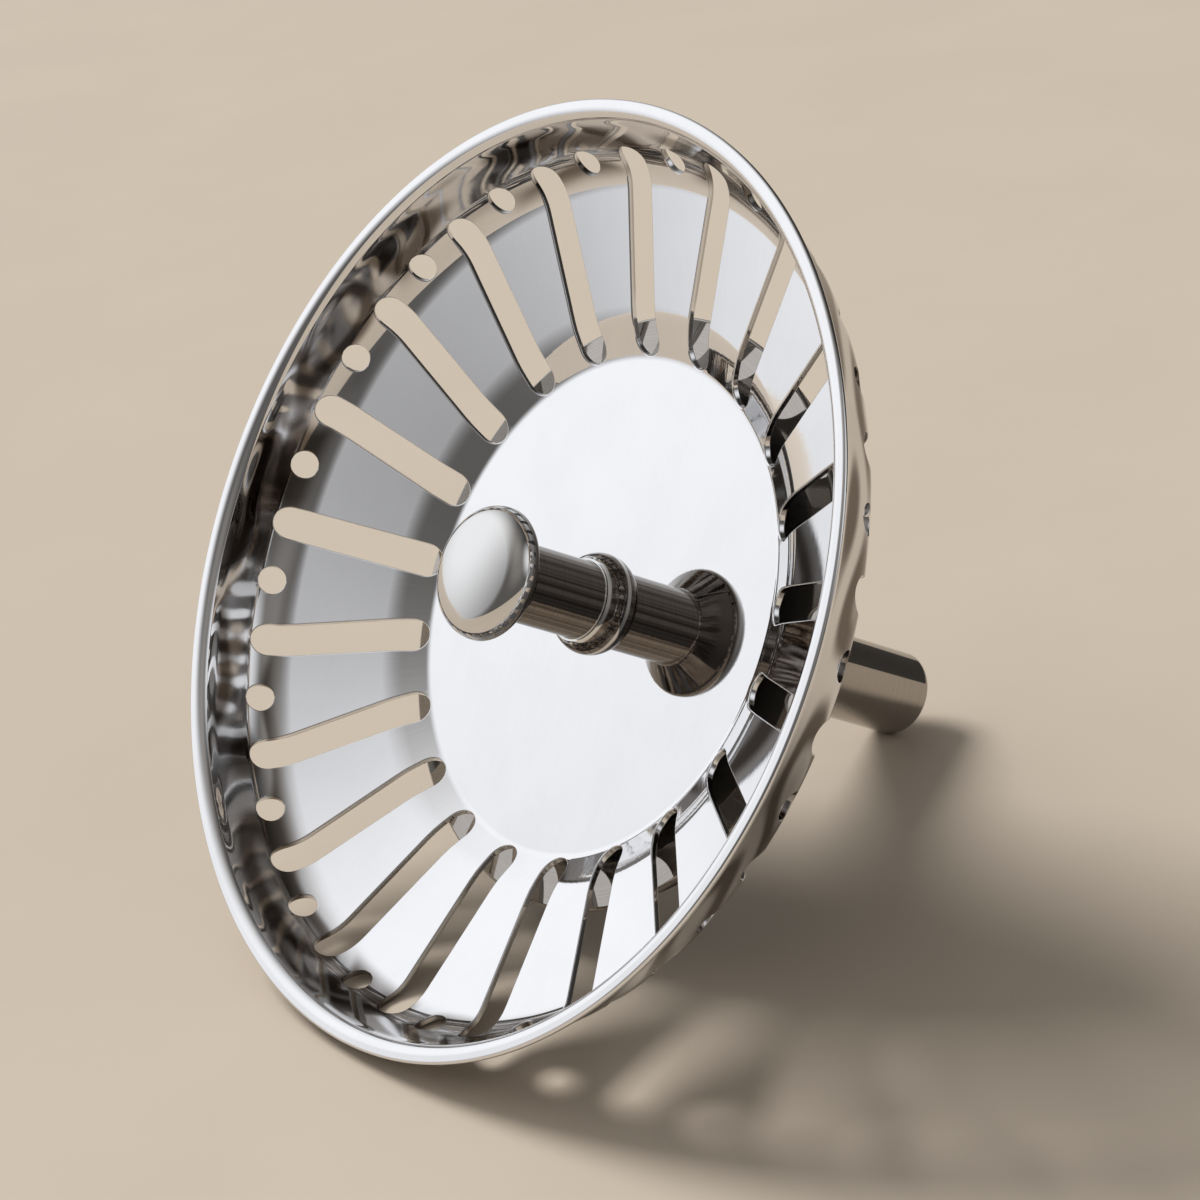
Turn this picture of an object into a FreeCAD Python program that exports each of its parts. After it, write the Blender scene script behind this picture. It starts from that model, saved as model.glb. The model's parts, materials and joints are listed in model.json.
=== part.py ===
import FreeCAD, Part
import math
import os

import Sketcher

# Lift-out basket strainer plug for a kitchen sink waste, in millimetres.
# Each piece is drawn about its own Z axis, with the rim's top at height 0 and the knob pointing up.
# The finished plug lies on the two ribs beside one slot and on the edge of the stem's end.

DIMENSIONS = {
    # Pressed basket
    "sheet_thickness": 0.6,
    "rim_radius": 42.0,
    "lip_width": 1.5,
    "lip_bend_radius": 0.5,
    "lip_edge_round": 0.28,
    "corner_ring_radius": 38.5,
    "corner_ring_depth": 6.8,
    "corner_bend_radius": 4.6,
    "step_radius": 25.7,
    "step_depth": 11.2,
    "step_bend_radius": 9.4,
    "base_radius": 22.5,
    "base_depth": 13.1,
    "base_bend_radius": 1.2,
    "centre_hole_radius": 2.15,
    # Slots and holes punched through the basket
    "slot_count": 21,
    "slot_half_width": 1.5,
    "slot_inner_radius": 22.6,
    "slot_outer_radius": 37.5,
    "slot_top_depth": 4.7,
    "slot_bottom_depth": 8.0,
    "drain_hole_radius": 1.3,
    "drain_hole_ring_radius": 38.8,
    "drain_hole_depth": 5.9,
    "drain_hole_slope": 35.0,
    "drain_hole_stroke": 5.0,
    # Turned handle
    "knob_radius": 5.92,
    "knob_height": 1.8,
    "knob_edge_depth": 1.0,
    "knob_shoulder_radius": 2.2,
    "knob_under_radius": 0.7,
    "knob_neck_depth": 3.4,
    "knob_neck_round": 0.5,
    "post_radius": 3.5,
    "foot_radius": 4.6,
    "foot_height": 1.8,
    "foot_step": 0.25,
    "thread_radius": 2.0,
    "tapped_hole_depth": 6.5,
    "drill_point_height": 1.2,
    # Washers, plate and seal stacked under the base
    "washer_hole_radius": 2.15,
    "packing_radius": 9.0,
    "packing_thickness": 1.6,
    "plate_radius": 26.9,
    "plate_thickness": 0.8,
    "plate_edge_round": 0.3,
    "seal_radius": 26.0,
    "seal_thickness": 3.0,
    "seal_chamfer": 1.2,
    "washer_recess_radius": 11.2,
    "washer_sink": 0.4,
    "retaining_radius": 11.0,
    "retaining_thickness": 1.2,
    "retaining_chamfer": 0.3,
    # Turned stem
    "stem_radius": 4.0,
    "stem_end_depth": 53.3,
    "stem_end_round": 0.7,
    "spigot_gap": 0.9,
}

# Depths of the stack under the base, as sums of driving dimensions
BASE_UNDERSIDE = "base_depth + sheet_thickness"
PACKING_UNDERSIDE = BASE_UNDERSIDE + " + packing_thickness"
PLATE_UNDERSIDE = PACKING_UNDERSIDE + " + plate_thickness"
SEAL_UNDERSIDE = PLATE_UNDERSIDE + " + seal_thickness"
RETAINING_TOP = SEAL_UNDERSIDE + " - washer_sink"
RETAINING_UNDERSIDE = RETAINING_TOP + " + retaining_thickness"
TAPPED_HOLE_TOP = "base_depth - tapped_hole_depth"

# Points of a sketch's line or arc, and the sketch's own axes
START = 1
END = 2
CENTRE = 3
ACROSS_AXIS = -1
UP_AXIS = -2
TOLERANCE = 1e-3

doc = FreeCAD.newDocument("BasketStrainerPlug")
sheet = doc.addObject("Spreadsheet::Sheet", "Dimensions")
for row, (alias, value) in enumerate(DIMENSIONS.items(), start=1):
    sheet.set(f"A{row}", alias)
    sheet.set(f"B{row}", str(value))
    sheet.setAlias(f"B{row}", alias)
doc.recompute()


def size(text):
    """Number that a sum or difference of driving dimensions gives, read back from the sheet."""
    total = 0.0
    sign = 1.0
    for word in text.split():
        if word in ("+", "-"):
            sign = 1.0 if word == "+" else -1.0
        else:
            total += sign * float(sheet.get(word))
    return total


def bound(text):
    """Expression in which each driving dimension names its cell."""
    return " ".join(f"{sheet.Name}.{word}" if word in DIMENSIONS else word for word in text.split())


# Sketch helpers
def new_body(label):
    body = doc.addObject("PartDesign::Body", label)
    body.Label = label
    return body


def origin_feature(body, role):
    return next(feature for feature in body.Origin.OriginFeatures if feature.Role == role)


def new_sketch(body, plane, name):
    sketch = body.newObject("Sketcher::SketchObject", name)
    sketch.AttachmentSupport = (origin_feature(body, plane), [""])
    sketch.MapMode = "FlatFace"
    return sketch


def fix(sketch, kind, *where, by=None):
    """Adds a constraint. A size is bound to a sum of driving dimensions."""
    if by is None:
        sketch.addConstraint(Sketcher.Constraint(kind, *where))
        return
    index = sketch.addConstraint(Sketcher.Constraint(kind, *where, size(by)))
    sketch.setExpression(f"Constraints[{index}]", bound(by))


def fix_radius(sketch, geometry, point, by):
    """Distance of a point from the axis of the turned piece."""
    fix(sketch, "DistanceX", ACROSS_AXIS, START, geometry, point, by=by)


def fix_depth(sketch, geometry, point, by):
    """Depth of a point below the rim's top."""
    fix(sketch, "DistanceY", geometry, point, ACROSS_AXIS, START, by=by)


def at(radius, depth):
    return FreeCAD.Vector(radius, -depth, 0)


def draw_line(sketch, start, end):
    return sketch.addGeometry(Part.LineSegment(at(*start), at(*end)))


def draw_arc(sketch, centre, radius, first, last):
    """Arc from the first to the last angle, in degrees, anticlockwise."""
    circle = Part.Circle(at(*centre), FreeCAD.Vector(0, 0, 1), radius)
    return sketch.addGeometry(Part.ArcOfCircle(circle, math.radians(first), math.radians(last)))


def draw_outline(sketch, corners):
    """Straight lines through the corners and back to the first one."""
    count = len(corners)
    for index in range(count):
        draw_line(sketch, corners[index], corners[(index + 1) % count])
    for index in range(count):
        fix(sketch, "Coincident", index, END, (index + 1) % count, START)


# Feature helpers
def revolve(body, sketch):
    turned = body.newObject("PartDesign::Revolution", sketch.Name + "Turned")
    turned.Profile = sketch
    turned.ReferenceAxis = (sketch, ["V_Axis"])
    turned.Angle = 360.0
    sketch.Visibility = False
    doc.recompute()
    return turned


def ring_edge(feature, radius, depth):
    """Name of the circular edge at this radius and depth."""
    for index, edge in enumerate(feature.Shape.Edges, start=1):
        if edge.Degenerated:
            continue
        curve = edge.Curve
        if not isinstance(curve, Part.Circle):
            continue
        if abs(curve.Radius - radius) < TOLERANCE and abs(curve.Center.z + depth) < TOLERANCE:
            return f"Edge{index}"
    raise RuntimeError(f"no ring edge at radius {radius} and depth {depth}")


def round_rings(body, base, name, rings, by):
    """Rounds ring edges of a turned piece."""
    fillet = body.newObject("PartDesign::Fillet", name)
    fillet.Base = (base, [ring_edge(base, *ring) for ring in rings])
    fillet.setExpression("Radius", bound(by))
    doc.recompute()
    return fillet


def bevel_rings(body, base, name, rings, by):
    """Bevels ring edges of a turned piece."""
    chamfer = body.newObject("PartDesign::Chamfer", name)
    chamfer.Base = (base, [ring_edge(base, *ring) for ring in rings])
    chamfer.setExpression("Size", bound(by))
    doc.recompute()
    return chamfer


def punch(body, sketch, stroke=None, along_normal=False):
    """Cuts a sketch through the sheet, to one side or half the stroke to each side."""
    before = body.Tip.Shape.Volume
    pocket = body.newObject("PartDesign::Pocket", sketch.Name + "Punch")
    pocket.Profile = sketch
    pocket.Refine = False
    pocket.Reversed = along_normal
    if stroke is None:
        pocket.Type = "ThroughAll"
    else:
        pocket.Type = "Length"
        pocket.Midplane = True
        pocket.setExpression("Length", bound(stroke))
    sketch.Visibility = False
    doc.recompute()
    if pocket.Shape.Volume > before - TOLERANCE:
        raise RuntimeError(f"{pocket.Name} cut nothing")
    return pocket


def repeat_round(body, name, features):
    """Repeats cuts evenly round the axis."""
    pattern = body.newObject("PartDesign::PolarPattern", name)
    pattern.Originals = features
    pattern.Axis = (origin_feature(body, "Z_Axis"), [""])
    pattern.Angle = 360.0
    pattern.Refine = False
    pattern.setExpression("Occurrences", bound("slot_count"))
    body.Tip = pattern
    doc.recompute()


# Pressed basket
UPPER_RUNS = 5


def draw_sheet_section(sketch):
    """Section of the sheet: its upper line from the centre hole to the lip, and its lower line back."""
    upper = [
        (size("centre_hole_radius"), size("base_depth")),
        (size("base_radius"), size("base_depth")),
        (size("step_radius"), size("step_depth")),
        (size("corner_ring_radius"), size("corner_ring_depth")),
        (size("rim_radius - lip_width"), 0.0),
        (size("rim_radius"), 0.0),
    ]
    lower = [(radius, depth + size("sheet_thickness")) for radius, depth in reversed(upper)]
    draw_outline(sketch, upper + lower)
    lip = UPPER_RUNS - 1
    lip_edge = UPPER_RUNS
    hole_edge = 2 * UPPER_RUNS + 1
    fix(sketch, "Horizontal", 0)
    fix(sketch, "Horizontal", lip)
    fix(sketch, "Vertical", lip_edge)
    fix(sketch, "Vertical", hole_edge)
    for line in range(UPPER_RUNS):
        lower_line = 2 * UPPER_RUNS - line
        fix(sketch, "Parallel", line, lower_line)
        fix(sketch, "Distance", lower_line, START, line, by="sheet_thickness")
    fix_radius(sketch, 0, START, "centre_hole_radius")
    for line, ring in enumerate(("base", "step", "corner_ring"), start=1):
        fix_radius(sketch, line, START, f"{ring}_radius")
        fix_depth(sketch, line, START, f"{ring}_depth")
    fix_radius(sketch, lip, START, "rim_radius - lip_width")
    fix_radius(sketch, lip, END, "rim_radius")
    fix(sketch, "PointOnObject", lip, END, ACROSS_AXIS)


def bend_sheet(body, sketch, base, name, line, inside_lower, by):
    """Bends the sheet at the start of an upper line, by its inside radius."""
    upper_point = sketch.getPoint(line, START)
    lower_point = sketch.getPoint(2 * UPPER_RUNS - line, END)
    rings = [(point.x, -point.y) for point in (upper_point, lower_point)]
    radii = [by + " + sheet_thickness", by] if inside_lower else [by, by + " + sheet_thickness"]
    for side, ring, radius in zip(("Upper", "Lower"), rings, radii):
        base = round_rings(body, base, name + side, [ring], radius)
    return base


def draw_slot(sketch, along, round_end, square_end):
    """Outline as wide as a slot, with one round end and one square end, on one axis of the sketch."""
    half = size("slot_half_width")
    centre = along * (size(round_end) + half)
    turn = math.atan2(along.y, along.x) + math.pi / 2
    circle = Part.Circle(centre, FreeCAD.Vector(0, 0, 1), half)
    arc = sketch.addGeometry(Part.ArcOfCircle(circle, turn, turn + math.pi))
    left = sketch.getPoint(arc, START)
    right = sketch.getPoint(arc, END)
    reach = along * size(square_end) - centre
    side = sketch.addGeometry(Part.LineSegment(right, right + reach))
    end = sketch.addGeometry(Part.LineSegment(right + reach, left + reach))
    back = sketch.addGeometry(Part.LineSegment(left + reach, left))
    fix(sketch, "Tangent", arc, END, side, START)
    fix(sketch, "Coincident", side, END, end, START)
    fix(sketch, "Coincident", end, END, back, START)
    fix(sketch, "Tangent", back, END, arc, START)
    fix(sketch, "Perpendicular", side, end)
    fix(sketch, "Radius", arc, by="slot_half_width")
    return arc, side


def punch_slot(body):
    """One slot in two cuts: down through the base's edge and the cone, and out through the corner."""
    floor = new_sketch(body, "XY_Plane", "SlotFloor")
    arc, side = draw_slot(floor, FreeCAD.Vector(1, 0, 0), "slot_inner_radius", "slot_outer_radius")
    fix(floor, "PointOnObject", arc, CENTRE, ACROSS_AXIS)
    fix(floor, "Horizontal", side)
    fix_radius(floor, arc, CENTRE, "slot_inner_radius + slot_half_width")
    fix_radius(floor, side, END, "slot_outer_radius")
    wall = new_sketch(body, "YZ_Plane", "SlotWall")
    arc, side = draw_slot(wall, FreeCAD.Vector(0, -1, 0), "slot_top_depth", "slot_bottom_depth")
    fix(wall, "PointOnObject", arc, CENTRE, UP_AXIS)
    fix(wall, "Vertical", side)
    fix_depth(wall, arc, CENTRE, "slot_top_depth + slot_half_width")
    fix_depth(wall, side, END, "slot_bottom_depth")
    return [punch(body, floor), punch(body, wall, along_normal=True)]


def punch_drain_hole(body):
    """One round hole through the corner, opposite the first slot and square to the bent sheet."""
    sketch = new_sketch(body, "XY_Plane", "DrainHole")
    tilt = FreeCAD.Rotation(FreeCAD.Vector(0, 1, 0), 90 - size("drain_hole_slope"))
    sketch.AttachmentOffset = FreeCAD.Placement(FreeCAD.Vector(0, 0, 0), tilt)
    sketch.setExpression("AttachmentOffset.Base.x", f"-{bound('drain_hole_ring_radius')}")
    sketch.setExpression("AttachmentOffset.Base.z", f"-{bound('drain_hole_depth')}")
    sketch.setExpression("AttachmentOffset.Rotation.Angle", f"90 - {bound('drain_hole_slope')}")
    middle = FreeCAD.Vector(0, 0, 0)
    sketch.addGeometry(Part.Circle(middle, FreeCAD.Vector(0, 0, 1), size("drain_hole_radius")))
    fix(sketch, "Coincident", 0, CENTRE, ACROSS_AXIS, START)
    fix(sketch, "Radius", 0, by="drain_hole_radius")
    return punch(body, sketch, stroke="drain_hole_stroke")


def make_basket():
    body = new_body("strainer_basket")
    section = new_sketch(body, "XZ_Plane", "SheetSection")
    draw_sheet_section(section)
    doc.recompute()
    tip = revolve(body, section)
    tip = bend_sheet(body, section, tip, "BaseBend", 1, False, "base_bend_radius")
    tip = bend_sheet(body, section, tip, "StepBend", 2, True, "step_bend_radius")
    tip = bend_sheet(body, section, tip, "CornerBend", 3, False, "corner_bend_radius")
    tip = bend_sheet(body, section, tip, "LipBend", 4, True, "lip_bend_radius")
    lip_rings = [(size("rim_radius"), 0.0), (size("rim_radius"), size("sheet_thickness"))]
    round_rings(body, tip, "LipEdge", lip_rings, "lip_edge_round")
    hole = punch_drain_hole(body)
    slot = punch_slot(body)
    repeat_round(body, "SlotsAndHoles", [hole] + slot)
    return body


# Turned handle: domed knob, post and flared foot in one piece, tapped from below
def crown_radius():
    """Radius of the dome's crown, which runs on from the shoulder's arc to the knob's top."""
    inset = size("knob_radius - knob_shoulder_radius")
    rise = size("knob_height + knob_edge_depth")
    shoulder = size("knob_shoulder_radius")
    return (inset**2 + rise**2 - shoulder**2) / (2 * (rise - shoulder))


def draw_handle_section(sketch):
    crown = crown_radius()
    knob = size("knob_radius")
    edge_depth = size("knob_edge_depth")
    shoulder = size("knob_shoulder_radius")
    under = size("knob_under_radius")
    post = size("post_radius")
    neck_depth = size("knob_neck_depth")
    foot_top = (size("post_radius + foot_step"), size("base_depth - foot_height"))
    foot = (size("foot_radius"), size("base_depth"))
    thread = size("thread_radius")
    hole_top = size(TAPPED_HOLE_TOP)
    drill_tip = (0.0, size(TAPPED_HOLE_TOP + " - drill_point_height"))
    apex = (0.0, -size("knob_height"))

    crown_centre = (0.0, crown - size("knob_height"))
    shoulder_centre = (knob - shoulder, edge_depth)
    lean = math.degrees(math.atan2(crown_centre[1] - edge_depth, shoulder_centre[0]))
    under_centre = (knob - under, edge_depth)
    neck = (post, neck_depth)
    to_neck = math.hypot(under_centre[0] - neck[0], neck[1] - under_centre[1])
    slope = math.atan2(under_centre[1] - neck[1], under_centre[0] - neck[0])
    under_angle = math.degrees(slope - math.acos(under / to_neck) + math.pi)
    rise = foot[1] - foot_top[1]
    inset = foot[0] - foot_top[0]
    foot_arc = (rise**2 + inset**2) / (2 * inset)
    foot_centre = (foot[0] - foot_arc, foot[1])
    foot_angle = math.degrees(math.asin(rise / foot_arc))

    dome = draw_arc(sketch, crown_centre, crown, lean, 90)
    side = draw_arc(sketch, shoulder_centre, shoulder, 0, lean)
    edge = draw_arc(sketch, under_centre, under, under_angle, 360)
    under_end = sketch.getPoint(edge, START)
    underside = draw_line(sketch, (under_end.x, -under_end.y), neck)
    shaft = draw_line(sketch, neck, (post, foot_top[1]))
    ledge = draw_line(sketch, (post, foot_top[1]), foot_top)
    flare = draw_arc(sketch, foot_centre, foot_arc, 0, foot_angle)
    seat = draw_line(sketch, foot, (thread, foot[1]))
    wall = draw_line(sketch, (thread, foot[1]), (thread, hole_top))
    tip = draw_line(sketch, (thread, hole_top), drill_tip)
    axis = draw_line(sketch, drill_tip, apex)

    fix(sketch, "Tangent", dome, START, side, END)
    fix(sketch, "Tangent", side, START, edge, END)
    fix(sketch, "Tangent", edge, START, underside, START)
    joints = (
        (underside, END, shaft, START),
        (shaft, END, ledge, START),
        (ledge, END, flare, END),
        (flare, START, seat, START),
        (seat, END, wall, START),
        (wall, END, tip, START),
        (tip, END, axis, START),
        (axis, END, dome, END),
    )
    for joint in joints:
        fix(sketch, "Coincident", *joint)
    for line in (shaft, wall, axis):
        fix(sketch, "Vertical", line)
    for line in (ledge, seat):
        fix(sketch, "Horizontal", line)
    for arc in (side, flare):
        fix(sketch, "Horizontal", arc, CENTRE, arc, START)
    fix(sketch, "PointOnObject", dome, CENTRE, UP_AXIS)
    fix(sketch, "PointOnObject", axis, END, UP_AXIS)
    fix(sketch, "DistanceY", ACROSS_AXIS, START, axis, END, by="knob_height")
    fix(sketch, "Radius", side, by="knob_shoulder_radius")
    fix(sketch, "Radius", edge, by="knob_under_radius")
    fix_radius(sketch, side, START, "knob_radius")
    fix_depth(sketch, side, START, "knob_edge_depth")
    fix_radius(sketch, shaft, START, "post_radius")
    fix_depth(sketch, shaft, START, "knob_neck_depth")
    fix_depth(sketch, shaft, END, "base_depth - foot_height")
    fix_radius(sketch, ledge, END, "post_radius + foot_step")
    fix_radius(sketch, seat, START, "foot_radius")
    fix_depth(sketch, seat, START, "base_depth")
    fix_radius(sketch, wall, START, "thread_radius")
    fix_depth(sketch, wall, END, TAPPED_HOLE_TOP)
    fix_depth(sketch, tip, END, TAPPED_HOLE_TOP + " - drill_point_height")


def make_handle():
    body = new_body("handle")
    section = new_sketch(body, "XZ_Plane", "HandleSection")
    draw_handle_section(section)
    doc.recompute()
    turned = revolve(body, section)
    neck = (size("post_radius"), size("knob_neck_depth"))
    round_rings(body, turned, "NeckRound", [neck], "knob_neck_round")
    return body


# Washers, plate and seal: flat rings round the thread
def make_ring(label, radius, top, bottom):
    """Flat ring from the top depth to the bottom depth. Gives its body and its turned shape."""
    body = new_body(label)
    section = new_sketch(body, "XZ_Plane", label + "_section")
    hole = size("washer_hole_radius")
    rim = size(radius)
    corners = [(hole, size(top)), (rim, size(top)), (rim, size(bottom)), (hole, size(bottom))]
    draw_outline(section, corners)
    upper, outer, lower, inner = range(4)
    for line in (upper, lower):
        fix(section, "Horizontal", line)
    for line in (outer, inner):
        fix(section, "Vertical", line)
    fix_radius(section, inner, START, "washer_hole_radius")
    fix_radius(section, outer, START, radius)
    fix_depth(section, upper, START, top)
    fix_depth(section, lower, START, bottom)
    doc.recompute()
    return body, revolve(body, section)


def make_packing_washer():
    body, _ = make_ring("packing_washer", "packing_radius", BASE_UNDERSIDE, PACKING_UNDERSIDE)
    return body


def make_seal_plate():
    body, turned = make_ring("seal_plate", "plate_radius", PACKING_UNDERSIDE, PLATE_UNDERSIDE)
    rings = [(size("plate_radius"), size(depth)) for depth in (PACKING_UNDERSIDE, PLATE_UNDERSIDE)]
    round_rings(body, turned, "PlateEdge", rings, "plate_edge_round")
    return body


def make_rubber_seal():
    """Ring with a bevelled edge, and a shallow recess that the retaining washer is pressed into."""
    body = new_body("rubber_seal")
    section = new_sketch(body, "XZ_Plane", "SealSection")
    hole = size("washer_hole_radius")
    recess = size("washer_recess_radius")
    rim = size("seal_radius")
    corners = [
        (hole, size(PLATE_UNDERSIDE)),
        (rim, size(PLATE_UNDERSIDE)),
        (rim, size(SEAL_UNDERSIDE)),
        (recess, size(SEAL_UNDERSIDE)),
        (recess, size(RETAINING_TOP)),
        (hole, size(RETAINING_TOP)),
    ]
    draw_outline(section, corners)
    upper, outer, lower, recess_wall, recess_floor, inner = range(6)
    for line in (upper, lower, recess_floor):
        fix(section, "Horizontal", line)
    for line in (outer, recess_wall, inner):
        fix(section, "Vertical", line)
    fix_radius(section, inner, START, "washer_hole_radius")
    fix_radius(section, outer, START, "seal_radius")
    fix_radius(section, recess_wall, START, "washer_recess_radius")
    fix_depth(section, upper, START, PLATE_UNDERSIDE)
    fix_depth(section, lower, START, SEAL_UNDERSIDE)
    fix_depth(section, recess_floor, START, RETAINING_TOP)
    doc.recompute()
    turned = revolve(body, section)
    bevel_rings(body, turned, "SealEdge", [(rim, size(SEAL_UNDERSIDE))], "seal_chamfer")
    return body


def make_retaining_washer():
    body, turned = make_ring("retaining_washer", "retaining_radius", RETAINING_TOP, RETAINING_UNDERSIDE)
    rings = [(size("retaining_radius"), size(RETAINING_UNDERSIDE))]
    bevel_rings(body, turned, "RetainingEdge", rings, "retaining_chamfer")
    return body


# Turned stem: plain pin with a shoulder and a thinner threaded spigot on top
def make_stem():
    body = new_body("stem")
    section = new_sketch(body, "XZ_Plane", "StemSection")
    top = TAPPED_HOLE_TOP + " + spigot_gap"
    corners = [
        (0.0, size(top)),
        (size("thread_radius"), size(top)),
        (size("thread_radius"), size(RETAINING_UNDERSIDE)),
        (size("stem_radius"), size(RETAINING_UNDERSIDE)),
        (size("stem_radius"), size("stem_end_depth")),
        (0.0, size("stem_end_depth")),
    ]
    draw_outline(section, corners)
    spigot_end, spigot, shoulder, pin, pin_end, axis = range(6)
    for line in (spigot_end, shoulder, pin_end):
        fix(section, "Horizontal", line)
    for line in (spigot, pin, axis):
        fix(section, "Vertical", line)
    fix(section, "PointOnObject", axis, START, UP_AXIS)
    fix_radius(section, spigot, START, "thread_radius")
    fix_depth(section, spigot, START, top)
    fix_radius(section, pin, START, "stem_radius")
    fix_depth(section, pin, START, RETAINING_UNDERSIDE)
    fix_depth(section, pin, END, "stem_end_depth")
    doc.recompute()
    turned = revolve(body, section)
    round_rings(body, turned, "PinEnd", [(size("stem_radius"), size("stem_end_depth"))], "stem_end_round")
    return body


# Lying pose
def corner_bend_centre():
    """Radius and height of the centre of the basket's corner bend, in the section's plane."""
    cone_run = size("corner_ring_radius - step_radius")
    cone_rise = size("step_depth - corner_ring_depth")
    band_run = size("rim_radius - lip_width - corner_ring_radius")
    band_rise = size("corner_ring_depth")
    turn = math.atan2(band_rise, band_run) - math.atan2(cone_rise, cone_run)
    length = math.hypot(band_run, band_rise)
    bend = size("corner_bend_radius")
    along = bend * math.tan(turn / 2) / length
    inward = bend / length
    radius = size("corner_ring_radius") + along * band_run - inward * band_rise
    height = -size("corner_ring_depth") + along * band_rise + inward * band_run
    return radius, height


def lying_slope():
    """Angle between the axis and the surface that touches both the basket's corner and the stem's end."""
    radius, height = corner_bend_centre()
    run = size("stem_radius - stem_end_round") - radius
    drop = size("stem_end_round - stem_end_depth") - height
    bends_apart = size("corner_bend_radius + sheet_thickness - stem_end_round")
    normal = math.atan2(drop, run) + math.acos(bends_apart / math.hypot(run, drop))
    return -normal


def lay_down(bodies):
    """Lays the plug down with its first slot lowest, centred over the origin on height 0."""
    slope = lying_slope()
    sine = math.sin(slope)
    cosine = math.cos(slope)
    slot_side = FreeCAD.Vector(0, -sine, -cosine)
    knob_side = FreeCAD.Vector(0, -cosine, sine)
    turn = FreeCAD.Rotation(slot_side, FreeCAD.Vector(1, 0, 0), knob_side, "ZXY")
    for body in bodies:
        body.Placement = FreeCAD.Placement(FreeCAD.Vector(0, 0, 0), turn)
    doc.recompute()
    box = Part.makeCompound([body.Shape for body in bodies]).optimalBoundingBox(False, False)
    shift = FreeCAD.Vector(-box.Center.x, -box.Center.y, -box.ZMin)
    for body in bodies:
        body.Placement = FreeCAD.Placement(shift, turn)
    doc.recompute()


def check(bodies):
    for item in doc.Objects:
        if "Invalid" in item.State or "Error" in item.State:
            raise RuntimeError(f"{item.Label} failed: {item.State}")
    for body in bodies:
        shape = body.Shape
        if shape.isNull() or not shape.isValid() or len(shape.Solids) != 1:
            raise RuntimeError(f"{body.Label} has no single valid solid")


def write(bodies):
    os.makedirs("parts", exist_ok=True)
    for body in bodies:
        body.Shape.exportStep(os.path.join("parts", body.Label + ".step"))


plug = [
    make_basket(),
    make_handle(),
    make_packing_washer(),
    make_seal_plate(),
    make_rubber_seal(),
    make_retaining_washer(),
    make_stem(),
]
lay_down(plug)
check(plug)
write(plug)
for piece in plug:
    print(f"{piece.Label}: volume {piece.Shape.Volume:.1f} cubic millimetres")
print(f"lying slope {math.degrees(lying_slope()):.3f} degrees, moved by {plug[0].Placement.Base}")
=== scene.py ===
import json
import math

import bpy
import numpy as np
from mathutils import Matrix, Vector


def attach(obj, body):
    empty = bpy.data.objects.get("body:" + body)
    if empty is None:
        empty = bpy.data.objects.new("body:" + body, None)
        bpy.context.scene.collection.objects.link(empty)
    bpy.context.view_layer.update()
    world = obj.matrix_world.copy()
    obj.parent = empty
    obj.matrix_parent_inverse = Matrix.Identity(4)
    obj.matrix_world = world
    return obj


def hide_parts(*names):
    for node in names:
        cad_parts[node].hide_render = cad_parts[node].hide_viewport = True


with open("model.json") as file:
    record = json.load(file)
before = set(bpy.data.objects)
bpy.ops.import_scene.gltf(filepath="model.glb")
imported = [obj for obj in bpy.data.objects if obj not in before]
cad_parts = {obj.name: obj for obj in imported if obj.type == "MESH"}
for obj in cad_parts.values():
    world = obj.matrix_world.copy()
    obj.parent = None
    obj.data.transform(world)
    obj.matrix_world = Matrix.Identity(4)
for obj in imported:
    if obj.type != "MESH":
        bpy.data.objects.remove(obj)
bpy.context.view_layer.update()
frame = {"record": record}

bl_info = {
    "name": "Basket Strainer Plug",
    "version": (1, 0, 0),
    "blender": (4, 5, 0),
    "location": "3D View > Sidebar > Strainer Plug",
    "description": "Builds a polished basket strainer plug and its stage round a packed part",
    "category": "Add Mesh",
}

MM = 0.001
BODY = "root"

# Fineness of the meshes, in radians, metres and counts
ARC_STEP = math.radians(7.0)
TURNED_SEGMENTS = 160
SLOT_END_ROWS = 9
HOLE_ROWS = 15
EDGE_ROWS = 4
SOLVE_SAMPLES = 6001
ROW_GAP = 0.05 * MM
CLOSED_CHORD = 0.02 * MM
WELD = 1e-6
WELD_SHIFTS = (0.137, 0.387, 0.637)
SAME_ROW = 1e-12
STRAIGHT = 1e-9

# Finish: scales per millimetre, shares and ranges of noise, and fades in millimetres from axis or rim
WIPE_SCALE = (0.25, 3.0, 1.0)
WIPE_TURN = (0.3, 0.5, 0.9)
RIPPLE_SCALE = (0.13, 0.13, 0.20)
GRAIN_SCALE = (0.07, 0.07, 0.22)
# Painted reflections on the band: waves, range and share of the dark streaks painted into its colour
PAINTED_STREAK_WAVES = 22.0
PAINTED_STREAK_RANGE = (-0.8, 0.9)
PAINTED_STREAK_SHARE = (0.1, 0.93)
SOFT_RANGE = (0.3, 0.7)
LINE_SCALE = 0.3
LINE_FADE = (0.0, 0.9)
WIPE_SHARE = 0.35
NOISE_MIDDLE = 0.5
HAZE_RANGE = (0.48, 0.92)
GROOVE_RANGE = (0.35, 0.65)
# Painted reflections on the post: range of the line noise that paints dark lines along it
POST_REFLECTION_RANGE = (-0.12, 0.14)
BAND_FADE = (36.9, 38.4)
LIP_FADE = (-1.7, -0.7)
CONE_FADE = (26.5, 28.5)
UNDERSIDE_FADE = (-0.45, -0.2)
DOME_FADE = (-1.1, -0.5)

# Fine marks in the polish and mottle on the rubber: scale, detail and roughness of their noise
POLISH_MARKS = (2.4, 5.0, 0.62)
RUBBER_MOTTLE = (4.0, 6.0, 0.6)

# Painted highlights on the handle's foot: height of each bright ring from its ledge and half width, in
# millimetres, and the share at full
FOOT_HIGHLIGHTS = ((-0.06, 0.22), (-1.75, 0.2))
HIGHLIGHT_CORE = 0.4

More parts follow.
